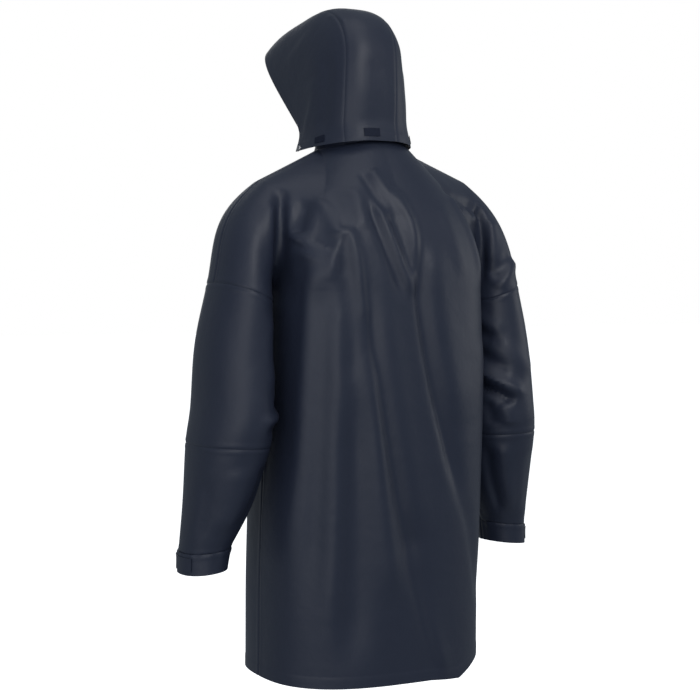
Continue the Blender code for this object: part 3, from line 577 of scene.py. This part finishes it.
def addSheet(bm, sheet, outward, chart=None):       # one grid as faces that point outwards
    rows, columns = sheet["points"].shape[:2]
    layers = bm.verts.layers.float
    held = {name: layers.get(name) or layers.new(name) for name in ("seam", "hem", "du", "dv")}
    uvLayer = bm.loops.layers.uv.get("UVMap") or bm.loops.layers.uv.new("UVMap")
    made = bmesh.ops.create_grid(bm, x_segments=columns - 1, y_segments=rows - 1, size=1.0)
    if chart is None:
        chart = (sheet["points"][:, :, 0], sheet["points"][:, :, 2])
    places = {}
    for vert in made["verts"]:
        column = round((vert.co.x + 1) / 2 * (columns - 1))
        row = round((vert.co.y + 1) / 2 * (rows - 1))
        places[vert] = (row, column)
        vert[held["seam"]] = sheet["seam"][row, column]
        vert[held["hem"]] = sheet["hem"][row, column]
        vert[held["du"]] = chart[0][row, column]
        vert[held["dv"]] = chart[1][row, column]
    faces = list({face for vert in made["verts"] for face in vert.link_faces})
    for face in faces:
        for loop in face.loops:
            place = places[loop.vert]
            loop[uvLayer].uv = (sheet["u"][place], -sheet["v"][place])
    for vert, place in places.items():
        vert.co = Vector(sheet["points"][place])
    if outward < 0:
        bmesh.ops.reverse_faces(bm, faces=faces)


def smoothStep(value, low, high):
    part = np.clip((value - low) / (high - low), 0.0, 1.0)
    return part * part * (3 - 2 * part)


def foldHeights(chart, folds):      # height of the folds at points of the chart
    total = np.zeros(len(chart))
    for fold in folds:
        part = np.linspace(0.0, 1.0, grain["foldSteps"] + 1)[:, None]
        start = np.array((fold.x0, fold.z0))
        middle = np.array((fold.x1, fold.z1))
        end = np.array((fold.x2, fold.z2))
        curve = (
            start * (1 - part) * (1 - 2 * part) + middle * 4 * part * (1 - part)
            + end * part * (2 * part - 1)
        )
        reach = max(fold.left, fold.right) * foldReach
        near = np.all((chart > curve.min(0) - reach) & (chart < curve.max(0) + reach), axis=1)
        if not near.any():
            continue
        points = chart[near]
        ahead = np.diff(curve, axis=0)
        best = np.full(len(points), farAway)
        signed = np.zeros(len(points))
        along = np.zeros(len(points))
        for index in range(len(ahead)):
            step = ahead[index]
            offset = points - curve[index]
            share = np.clip(offset @ step / (step @ step), 0.0, 1.0)
            away = offset - share[:, None] * step
            distance = np.hypot(away[:, 0], away[:, 1])
            closer = distance < best
            best = np.where(closer, distance, best)
            cross = step[0] * offset[:, 1] - step[1] * offset[:, 0]
            signed = np.where(closer, np.sign(cross) * distance, signed)
            along = np.where(closer, (index + share) / len(ahead), along)
        width = np.where(signed > 0, fold.left, fold.right)
        best = np.hypot(best, foldCrest) - foldCrest
        fade = smoothStep(np.minimum(along, 1 - along), 0.0, foldFade)
        total[near] += fold.height * fade * np.exp(-((best / width) ** fold.power))
    return total


def seamHeights(distance, rise):    # a sunk line with the welded allowance raised beside it
    fromEnd = distance - cloth["seamWidth"]
    band = smoothStep(distance, *relief["seamStart"]) * (1 - smoothStep(fromEnd, *relief["seamEnd"]))
    line = np.exp(-((distance / relief["seamLine"]) ** 2))
    return rise * (band - cloth["seamDip"] * line)


def hemHeights(distance, width, rise):      # a turned-up layer with its weld line
    band = 1 - smoothStep(distance - width, *relief["hemEnd"])
    line = np.exp(-(((distance - width) / relief["hemLine"]) ** 2))
    return rise * (band - relief["hemDip"] * line)


def layerValues(bm, name):
    layer = bm.verts.layers.float[name]
    return np.array([vert[layer] for vert in bm.verts])


def addObject(name, data):
    made = bpy.data.objects.new(name, data)
    bpy.context.scene.collection.objects.link(made)
    return made


def meshFrom(name, bm):
    mesh = bpy.data.meshes.new(name)
    bm.to_mesh(mesh)
    bm.free()
    return mesh


def shadeSmooth(mesh, angle):
    mesh.shade_smooth()
    mesh.set_sharp_from_angle(angle=math.radians(angle))


def finishCloth(name, bm, finishes, wall):      # wall on the inner side, made real
    mesh = meshFrom(name, bm)
    piece = addObject(name, mesh)
    for finish in finishes:
        mesh.materials.append(finish)
    solid = piece.modifiers.new("wall", "SOLIDIFY")
    solid.thickness = wall
    solid.offset = -1.0
    solid.material_offset = len(finishes) - 1
    depsgraph = bpy.context.evaluated_depsgraph_get()
    solidMesh = bpy.data.meshes.new_from_object(piece.evaluated_get(depsgraph))
    piece.modifiers.clear()
    piece.data = solidMesh
    solidMesh.name = name
    bpy.data.meshes.remove(mesh)
    shadeSmooth(solidMesh, cloth["shadeAngle"])
    return piece


def flatArea(sheets):
    total = 0.0
    for sheet in sheets:
        grid = sheet["points"]
        first = grid[1:, 1:] - grid[:-1, :-1]
        second = grid[1:, :-1] - grid[:-1, 1:]
        total += np.linalg.norm(np.cross(first, second), axis=2).sum() / 2
    return float(total)


def makeCloth(name, sheets, node, folds=(), hemWidth=cloth["hemWidth"], wall=cloth["wall"],
              lift=0.0, flat=None, outside=None, ripple=None,
              seamRise=cloth["seamRise"], hemRise=cloth["hemRise"]):
    bm = bmesh.new()
    for sheet, outward, chart in sheets:
        addSheet(bm, sheet, outward, chart)
    bmesh.ops.remove_doubles(bm, verts=bm.verts, dist=cloth["weld"])
    bm.normal_update()
    chart = np.stack([layerValues(bm, "du"), layerValues(bm, "dv")], axis=1)
    # folds die out at a seam, so that the two panels meet
    fromSeam = layerValues(bm, "seam")
    height = foldHeights(chart, folds) * smoothStep(fromSeam, 0.0, seamFade) + lift
    height += seamHeights(fromSeam, seamRise)
    height += hemHeights(layerValues(bm, "hem"), hemWidth, hemRise)
    if ripple:
        height += ripple(bm)
    normals = [vert.normal.copy() for vert in bm.verts]
    for vert, normal, rise in zip(bm.verts, normals, height):
        vert.co += normal * float(rise)
    piece = finishCloth(name, bm, [outside or coatedNavy, knitBack], wall)
    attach(piece, "root")
    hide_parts(node)
    area = flatArea([sheet for sheet, _, _ in sheets])
    if flat is None:
        first = sheets[0][0]
        flat = (float(first["u"].max()), float(first["v"].max()))
    area = min(area, flat[0] * flat[1])
    print(name, "flat", [round(side, 3) for side in flat], "area", round(area, 4))
    return piece


# finishes

def newFinish(name, colour, roughness):
    material = bpy.data.materials.new(name)
    material.use_nodes = True
    shader = material.node_tree.nodes["Principled BSDF"]
    shader.inputs["Base Color"].default_value = (*colour, 1.0)
    shader.inputs["Roughness"].default_value = roughness
    return material, material.node_tree, shader


def addNode(tree, kind, **values):
    node = tree.nodes.new(kind)
    for key, value in values.items():
        if key in node.inputs:
            node.inputs[key].default_value = value
        else:
            setattr(node, key, value)
    return node


def join(tree, source, output, target, place):
    tree.links.new(source.outputs[output], target.inputs[place])


def joinShades(tree, source, output, first, second, shader):       # colour between two shades
    shade = addNode(tree, "ShaderNodeMix", data_type="RGBA")
    shade.inputs[6].default_value = (*first, 1.0)
    shade.inputs[7].default_value = (*second, 1.0)
    join(tree, source, output, shade, "Factor")
    join(tree, shade, 2, shader, "Base Color")


def joinGloss(tree, source, limits, roughness, shader):     # limits: source and roughness range
    gloss = addNode(tree, "ShaderNodeMapRange")
    gloss.inputs["From Min"].default_value = limits[0]
    gloss.inputs["From Max"].default_value = limits[1]
    gloss.inputs["To Min"].default_value = roughness + limits[2]
    gloss.inputs["To Max"].default_value = roughness + limits[3]
    join(tree, source, "Fac", gloss, "Value")
    join(tree, gloss, "Result", shader, "Roughness")


def makeCoated(name, look):         # satin coating: fine grain, faint cloudiness in shade and gloss
    material, tree, shader = newFinish(name, look["colour"], look["roughness"])
    shader.inputs["Specular IOR Level"].default_value = look["specular"]
    place = addNode(tree, "ShaderNodeTexCoord")
    cloud = addNode(tree, "ShaderNodeTexNoise", Scale=look["cloudScale"], Detail=4.0)
    fine = addNode(tree, "ShaderNodeTexNoise", Scale=look["grainScale"], Detail=3.0)
    soft = addNode(tree, "ShaderNodeTexNoise", Scale=look["rippleScale"], Detail=2.0)
    for texture in (cloud, fine, soft):
        join(tree, place, "Object", texture, "Vector")
    joinShades(tree, cloud, "Fac", look["colour"], look["otherColour"], shader)
    joinGloss(tree, cloud, look["gloss"], look["roughness"], shader)
    softBump = addNode(tree, "ShaderNodeBump", Strength=1.0, Distance=look["rippleHeight"])
    fineBump = addNode(tree, "ShaderNodeBump", Strength=1.0, Distance=look["grainHeight"])
    join(tree, soft, "Fac", softBump, "Height")
    join(tree, fine, "Fac", fineBump, "Height")
    join(tree, softBump, "Normal", fineBump, "Normal")
    join(tree, fineBump, "Normal", shader, "Normal")
    return material


def makeKnit(name, look):           # the uncoated side: fine ribs of knit stitches on the UV map
    material, tree, shader = newFinish(name, look["colour"], look["roughness"])
    shader.inputs["Specular IOR Level"].default_value = look["specular"]
    shader.inputs["Sheen Weight"].default_value = look["sheen"]
    shader.inputs["Sheen Roughness"].default_value = look["sheenRoughness"]
    place = addNode(tree, "ShaderNodeUVMap", uv_map="UVMap")
    ribs = addNode(tree, "ShaderNodeTexWave", Scale=look["ribScale"], bands_direction="X")
    courses = addNode(tree, "ShaderNodeTexWave", Scale=look["courseScale"], bands_direction="Y")
    both = addNode(tree, "ShaderNodeMath", operation="MULTIPLY")
    for index, texture in enumerate((ribs, courses)):
        join(tree, place, "UV", texture, "Vector")
        join(tree, texture, "Fac", both, index)
    bump = addNode(tree, "ShaderNodeBump", Strength=look["bump"], Distance=look["stitchHeight"])
    join(tree, both, "Value", bump, "Height")
    join(tree, bump, "Normal", shader, "Normal")
    joinShades(tree, both, "Value", look["colour"], look["lightColour"], shader)
    return material


def makeMetal(name, look):
    material, tree, shader = newFinish(name, look["colour"], look["roughness"])
    shader.inputs["Metallic"].default_value = 1.0
    place = addNode(tree, "ShaderNodeTexCoord")
    wear = addNode(tree, "ShaderNodeTexNoise", Scale=look["wearScale"], Detail=3.0)
    join(tree, place, "Object", wear, "Vector")
    joinGloss(tree, wear, look["gloss"], look["roughness"], shader)
    return material


shellLook = {
    "colour": (0.0150, 0.0195, 0.0365), "otherColour": (0.0180, 0.0230, 0.0410),
    "roughness": 0.46, "gloss": (0.3, 0.7, -0.03, 0.03), "specular": 0.34, "cloudScale": 9.0,
    "grainScale": 1500.0, "grainHeight": 0.00006, "rippleScale": 34.0, "rippleHeight": 0.0009,
}
trimLook = dict(shellLook, colour=(0.0060, 0.0085, 0.0190), otherColour=(0.0120, 0.0160, 0.0310),
                roughness=0.62, specular=0.12, cloudScale=160.0, rippleHeight=0.0003)
knitLook = {
    "colour": (0.020, 0.024, 0.034), "lightColour": (0.040, 0.046, 0.060), "roughness": 0.9,
    "specular": 0.2, "sheen": 0.25, "sheenRoughness": 0.5, "ribScale": 110.0,
    "courseScale": 90.0, "bump": 0.6, "stitchHeight": 0.0003,
}
studLook = {
    "colour": (0.30, 0.30, 0.31), "roughness": 0.34, "gloss": (0.0, 1.0, -0.08, 0.12),
    "wearScale": 300.0,
}

coatedNavy = makeCoated("coatedNavy", shellLook)
trimNavy = makeCoated("trimNavy", trimLook)
tabNavy = makeCoated("tabNavy", dict(shellLook, rippleHeight=0.0003, cloudScale=40.0))
knitBack = makeKnit("knitBack", knitLook)
studMetal = makeMetal("studMetal", studLook)
print("finishes made")


# the coat's panels

def bodyPanel(name, node, isBack, columns, folds, outward):     # columns: first and last kept
    body, leftCap, rightCap = bodyGrids(isBack)
    upperStep = float(np.linalg.norm(body[1, -1] - body[0, -1]))
    lowerStep = float(np.linalg.norm(body[-1, 0] - body[-2, 0]))
    capRows = edgePlaces(grain["upperRows"], upperStep, "seam", "seam")
    lowRows = edgePlaces(grain["lowerRows"], lowerStep, "", "hem")[1:] + grain["upperRows"]
    side = float(np.linalg.norm(body[-1, 1] - body[-1, 0]))
    first, last = columns
    columnPlaces = edgePlaces(last - first, side, "seam", "seam") + first
    if isBack:
        rowPlaces = np.concatenate([capRows, lowRows])
        main = sheetGrid(body, rowPlaces, columnPlaces, "tlr", "b", sideFrom=len(capRows) - 1)
    else:
        main = openFront(body, capRows, lowRows, columnPlaces, first == 0)
    sheets = [(main, outward, None)]
    nearTop = 10
    capStep = float(np.linalg.norm(leftCap[nearTop, 1] - leftCap[nearTop, 0]))
    if last == body.shape[1] - 1:
        places = edgePlaces(grain["capColumns"], capStep, "", "seam")
        cap = sheetGrid(leftCap, capRows, places, "tbr")
        cap["u"] = cap["u"] + main["u"][: len(capRows), -1:]
        sheets.append((cap, outward, None))
    if first == 0:
        places = edgePlaces(grain["capColumns"], capStep, "seam", "")
        cap = sheetGrid(rightCap, capRows, places, "tbl")
        cap["u"] = cap["u"] - cap["u"][:, -1:]
        sheets.append((cap, outward, None))
    width = sum(float(sheet["u"].max() - sheet["u"].min()) for sheet, _, _ in sheets)
    length = float(main["v"].max())
    return makeCloth(name, sheets, node, folds, flat=(width, length))


def openFront(body, capRows, lowRows, columnPlaces, isRight):   # a front has one side seam
    sideFrom = len(capRows) - 1
    outer, inner = ("l", "r") if isRight else ("r", "l")
    main = sheetGrid(body, np.concatenate([capRows, lowRows]), columnPlaces, "t" + outer, "b",
                     sideFrom=sideFrom)
    grid = main["points"]
    edge, beside = (-1, -2) if isRight else (0, 1)
    inward = grid[:, beside] - grid[:, edge]
    grid[:, edge] += inward / np.linalg.norm(inward, axis=1)[:, None] * cloth["seamGap"] / 2
    return main


bodyPanel("coatBack", "back", True, (0, 2 * grain["backColumns"]), backFolds, 1)
bodyPanel("coatFrontRight", "front_right", False, (0, grain["frontColumns"]), frontFolds, -1)
bodyPanel("coatFrontLeft", "front_left", False,
          (grain["frontColumns"], 2 * grain["frontColumns"]), frontFolds, -1)
print("body made")

for side, word in ((1.0, "Left"), (-1.0, "Right")):
    folds = armFolds(leftSleeveFolds if side > 0 else rightSleeveFolds)
    for part, first, last, rows, node in (
        ("Mid", 0, sleeve["elbowRow"], grain["midSleeveRows"], "sleeve_mid_"),
        ("Lower", sleeve["elbowRow"], len(sleeveRows) - 1, grain["lowerSleeveRows"], "sleeve_lower_"),
    ):
        grid = sleeveGrid(first, last, rows, side)
        rowStep = float(np.linalg.norm(grid[1, 0] - grid[0, 0]))
        rowPlaces = edgePlaces(rows, rowStep, "seam", "seam")
        columnPlaces = edgePlaces(grid.shape[1] - 1, spacing["sleeve"], "seam", "seam")
        sheet = sheetGrid(grid, rowPlaces, columnPlaces, "tb", closed="lr")
        makeCloth("sleeve" + part + word, [(sheet, -side, armChart(sheet["points"]))],
                  node + word.lower(), folds)
print("sleeves made")


# cuffs, collar, hood

def puckers(side):                  # the band's upper edge is drawn in unevenly
    def ripple(bm):
        u = layerValues(bm, "du")
        seam = layerValues(bm, "seam")
        wave = sum(one.strength * np.sin(u * one.pitch + one.phase * side) for one in cuffWaves)
        return cuff["pucker"] * (1 + wave / 2) * np.exp(-seam / cuff["puckerDepth"])
    return ripple


for side, word in ((1.0, "Left"), (-1.0, "Right")):
    grid = cuffGrid(side)
    columnPlaces = edgePlaces(grid.shape[1] - 1, spacing["sleeve"], "seam", "seam")
    rowPlaces = edgePlaces(grain["cuffRows"], spacing["cuff"], "seam")
    sheet = sheetGrid(grid, rowPlaces, columnPlaces, "t", closed="lr")
    makeCloth("cuffBand" + word, [(sheet, -side, armChart(sheet["points"]))],
              "cuff_" + word.lower(), wall=cuff["wall"], ripple=puckers(side))

grid = collarGrid()
sheet = sheetGrid(grid, np.arange(len(grid) * 1.0), np.arange(grid.shape[1] * 1.0), "b")
makeCloth("standCollar", [(sheet, 1, None)], "collar")


def hoodStart(name, across):        # where a hood panel starts, along the arch from its middle
    if name == "right":
        return -hood["centreHalf"] - across[:, -1:]
    return hood["centreHalf"] if name == "left" else -hood["centreHalf"]


hoodPanels = hoodGrids()
for name, start, end, seams in (
    ("right", "", "seam", "r"), ("centre", "seam", "seam", "lr"), ("left", "seam", "", "l"),
):
    grid = hoodPanels[name]
    rowPlaces = edgePlaces(grain["hoodRows"], spacing["hood"], "hem", "hem")
    columnPlaces = edgePlaces(grid.shape[1] - 1, spacing["hood"], start, end)
    sheet = sheetGrid(grid, rowPlaces, columnPlaces, seams, "tb")
    chart = (sheet["u"] + hoodStart(name, sheet["u"]), sheet["v"])
    makeCloth("hood" + name.capitalize(), [(sheet, -1, chart)], "hood_" + name, hoodFolds,
              cloth["brimWidth"], seamRise=cloth["softRise"], hemRise=cloth["softRise"])
print("collar and hood made")


# trim, laid on the panels

def laidOn(name, node, grid, chart, rowPlaces, columnPlaces, outward, folds, wall, lift,
           outside=trimNavy, ripple=None):
    points = resample(grid, rowPlaces, columnPlaces)
    chart = resample(np.stack(chart, axis=2), rowPlaces, columnPlaces)
    across = runs(points, 1)
    near = np.minimum(across, across[:, -1:] - across)
    seam = np.full(near.shape, farAway)
    if ripple:          # a rippled band's own relief is followed
        seam = resample(runs(grid, 0)[:, :, None], rowPlaces, columnPlaces)[:, :, 0]
    sheet = {"points": points, "u": across, "v": runs(points, 0), "seam": seam, "hem": near}
    return makeCloth(name, [(sheet, outward, (chart[:, :, 0], chart[:, :, 1]))], node, folds,
                     trim["edge"], wall, lift + trim["gap"] + wall, outside=outside,
                     ripple=ripple, hemRise=trim["edgeRise"])


# a point raised by the lift above the folded panel, and the direction away from the inside point
def standPoint(grid, chart, folds, row, column, inside, lift):
    corner = resample(grid, np.array((row, row + 0.5)), np.array((column, column + 0.5)))
    normal = np.cross(corner[0, 1] - corner[0, 0], corner[1, 0] - corner[0, 0])
    normal /= np.linalg.norm(normal)
    if normal @ (corner[0, 0] - np.array(inside)) < 0:
        normal = -normal
    spot = resample(np.stack(chart, axis=2), np.array((row,)), np.array((column,)))[0]
    rise = lift + float(foldHeights(spot, folds)[0])
    return Vector(corner[0, 0] + normal * rise), Vector(normal)


def makeStud(name, node, centre, axis):     # press stud: low cap with a rim and a domed middle
    bm = bmesh.new()
    bmesh.ops.create_cone(
        bm, cap_ends=True, segments=stud["segments"], radius1=stud["radius"],
        radius2=stud["radius"] * stud["topShare"], depth=stud["height"],
    )
    for step in studSteps:
        caps = [
            face for face in bm.faces
            if len(face.verts) == stud["segments"] and face.calc_center_median().z > 0
        ]
        top = min(caps, key=lambda face: face.calc_area())
        bmesh.ops.inset_region(bm, faces=[top], thickness=step.width, depth=step.rise)
    rim = [edge for edge in bm.edges if edge.calc_face_angle(0.0) > stud["sharpEdge"]]
    bmesh.ops.bevel(
        bm, geom=rim, offset=stud["round"], offset_type="OFFSET", segments=3, profile=0.5,
        affect="EDGES", material=-1,
    )
    turn = axis.to_track_quat("Z", "Y").to_matrix().to_4x4()
    place = Matrix.Translation(centre + axis * stud["height"] / 2)
    bmesh.ops.transform(bm, matrix=place @ turn, verts=bm.verts)
    mesh = meshFrom(name, bm)
    mesh.materials.append(studMetal)
    shadeSmooth(mesh, stud["shadeAngle"])
    piece = addObject(name, mesh)
    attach(piece, "root")
    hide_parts(node)
    return piece


insideHood = (0.0, 0.05, 0.10)
for patch in hoodPatches:
    name = patch.panel
    grid = hoodPanels[name]
    across = runs(grid, 1)
    chart = (across + hoodStart(name, across), runs(grid, 0))
    rows, columns = grid.shape[0] - 1, grid.shape[1] - 1
    rowPlaces = np.linspace(patch.top, patch.bottom, trim["patchGrid"][0]) * rows
    columnPlaces = np.linspace(patch.start, patch.end, trim["patchGrid"][1]) * columns
    laidOn("hoodPatch" + name.capitalize(), "hood_patch_" + name, grid, chart, rowPlaces,
           columnPlaces, -1, hoodFolds, trim["patchWall"], cloth["softRise"])
    if name in hoodStud:
        spot = standPoint(grid, chart, hoodFolds, hoodStud["row"] * rows, hoodStud[name] * columns,
                          insideHood, cloth["softRise"] + stud["float"])
        makeStud("hoodStud" + name.capitalize(), "hood_stud_" + name, *spot)

for side, word in ((1.0, "Left"), (-1.0, "Right")):
    grid = cuffGrid(side)
    chart = armChart(grid)
    rows, columns = grid.shape[0] - 1, grid.shape[1] - 1
    rowPlaces = np.linspace(tab["top"], tab["bottom"], trim["tabGrid"][0]) * rows
    columnPlaces = np.linspace(tab["start"], tab["end"], trim["tabGrid"][1]) * columns
    laidOn("cuffTab" + word, "cuff_tab_" + word.lower(), grid, chart, rowPlaces, columnPlaces,
           -side, (), trim["wall"], trim["cuffGap"], outside=tabNavy, ripple=puckers(side))
    insideCuff = grid.reshape(-1, 3).mean(axis=0)
    lift = trim["gap"] + trim["wall"] + trim["edgeRise"] + trim["cuffStudFloat"]
    spot = standPoint(grid, chart, (), tab["middle"] * rows, tab["stud"] * columns, insideCuff,
                      lift)
    makeStud("cuffStud" + word, "cuff_stud_" + word.lower(), *spot)

frontBody = bodyGrids(False)[0]
chart = (frontBody[:, :, 0], frontBody[:, :, 2])
middle = grain["frontColumns"]
upper, lower = grain["upperRows"], grain["lowerRows"]
lastRow = frontBody.shape[0] - 1 - placket["hemRoom"] * lower
rowPlaces = np.linspace(placket["top"] * upper, lastRow, trim["placketGrid"][0])
columnPlaces = middle + np.linspace(-placket["half"], placket["half"], trim["placketGrid"][1])
laidOn("frontPlacket", "placket", frontBody, chart, rowPlaces, columnPlaces, -1, frontFolds,
       trim["wall"], cloth["hemRise"], coatedNavy)
studRows = [share * upper for share in placket["upperStuds"]]
studRows += [upper + share * lower for share in placket["lowerStuds"]]
insideCoat = (0.0, 0.0, -0.4)
lift = cloth["hemRise"] + trim["gap"] + trim["wall"] + trim["edgeRise"] + trim["placketStudFloat"]
for number, row in enumerate(studRows, start=1):
    spot = standPoint(frontBody, chart, frontFolds, row, middle + placket["studColumn"],
                      insideCoat, lift)
    makeStud(f"frontStud{number}", f"front_stud_{number}", *spot)
print("trim made")

# stage, light and camera

stage = {
    "floorZ": -1.50, "floorSize": 30.0, "floorColour": (0.86, 0.86, 0.87), "floorRoughness": 0.9,
    "floorGlow": 0.86,
}
bm = bmesh.new()
bmesh.ops.create_grid(bm, x_segments=1, y_segments=1, size=stage["floorSize"])
bmesh.ops.translate(bm, verts=bm.verts, vec=(0.0, 0.0, stage["floorZ"]))
floorMesh = meshFrom("floor", bm)
floor = addObject("floor", floorMesh)
floorFinish, _, floorShader = newFinish("paleFloor", stage["floorColour"], stage["floorRoughness"])
floorShader.inputs["Emission Color"].default_value = (1.0, 1.0, 1.0, 1.0)
floorShader.inputs["Emission Strength"].default_value = stage["floorGlow"]
floorMesh.materials.append(floorFinish)
floor.visible_diffuse = False       # pale to look at, without lighting the coat from below
floor.visible_glossy = False

Lamp = namedtuple("Lamp", "place aim size watts")
light = {
    "key": Lamp((0.0, 2.9, 1.7), (0.0, 0.0, -0.35), 1.5, 36.0),
    "fill": Lamp((1.9, 3.0, -0.2), (0.0, 0.0, -0.50), 2.6, 30.0),
    "left": Lamp((3.2, 1.4, -0.5), (0.0, 0.0, -0.60), 2.4, 14.0),
    "top": Lamp((0.2, 0.6, 2.4), (0.0, 0.0, -0.2), 1.8, 6.0),
    "front": Lamp((-1.4, -3.4, 0.6), (0.0, 0.0, -0.35), 2.6, 18.0),
    "right": Lamp((-3.2, 0.9, 0.2), (0.0, 0.0, -0.45), 2.0, 16.0),
}
for name, lamp in light.items():
    data = bpy.data.lights.new(name, "AREA")
    data.size = lamp.size
    data.energy = lamp.watts
    made = addObject(name, data)
    made.location = lamp.place
    aimed = Vector(lamp.aim) - Vector(lamp.place)
    made.rotation_euler = aimed.to_track_quat("-Z", "Y").to_euler()

sky = {"energy": 0.35, "spread": 60.0, "tiltX": -12.0, "tiltY": 8.0}
sun = bpy.data.lights.new("sky", "SUN")
sun.energy = sky["energy"]
sun.angle = math.radians(sky["spread"])
sunLamp = addObject("sky", sun)
sunLamp.rotation_euler = (math.radians(sky["tiltX"]), math.radians(sky["tiltY"]), 0.0)

bpy.context.scene.view_settings.view_transform = "Standard"
world = bpy.data.worlds.new("studio")
bpy.context.scene.world = world
world.use_nodes = True
tree = world.node_tree
backdrop = tree.nodes["Background"]
backdrop.inputs["Color"].default_value = (1.0, 1.0, 1.0, 1.0)
backdrop.inputs["Strength"].default_value = 1.0
room = addNode(tree, "ShaderNodeBackground", Color=(0.80, 0.90, 1.0, 1.0), Strength=0.30)
path = addNode(tree, "ShaderNodeLightPath")
blendRoom = addNode(tree, "ShaderNodeMixShader")
join(tree, path, "Is Camera Ray", blendRoom, "Fac")
join(tree, room, "Background", blendRoom, 1)
join(tree, backdrop, "Background", blendRoom, 2)
join(tree, blendRoom, "Shader", tree.nodes["World Output"], "Surface")

camera = {
    "azimuth": 151.0, "distance": 2.8, "height": -0.243, "aimHeight": -0.3738, "aside": -0.0168,
    "lens": 77.0, "sensor": 36.0,
}
turn = math.radians(camera["azimuth"])
back = Vector((math.sin(turn), -math.cos(turn), 0.0))
aside = Vector((math.cos(turn), math.sin(turn), 0.0)) * camera["aside"]
lens = bpy.data.cameras.new("camera")
lens.lens = camera["lens"]
lens.sensor_width = camera["sensor"]
eye = addObject("camera", lens)
eye.location = back * camera["distance"] + aside + Vector((0.0, 0.0, camera["height"]))
aim = aside + Vector((0.0, 0.0, camera["aimHeight"]))
eye.rotation_euler = (aim - eye.location).to_track_quat("-Z", "Y").to_euler()
bpy.context.scene.camera = eye
print("light and camera set")
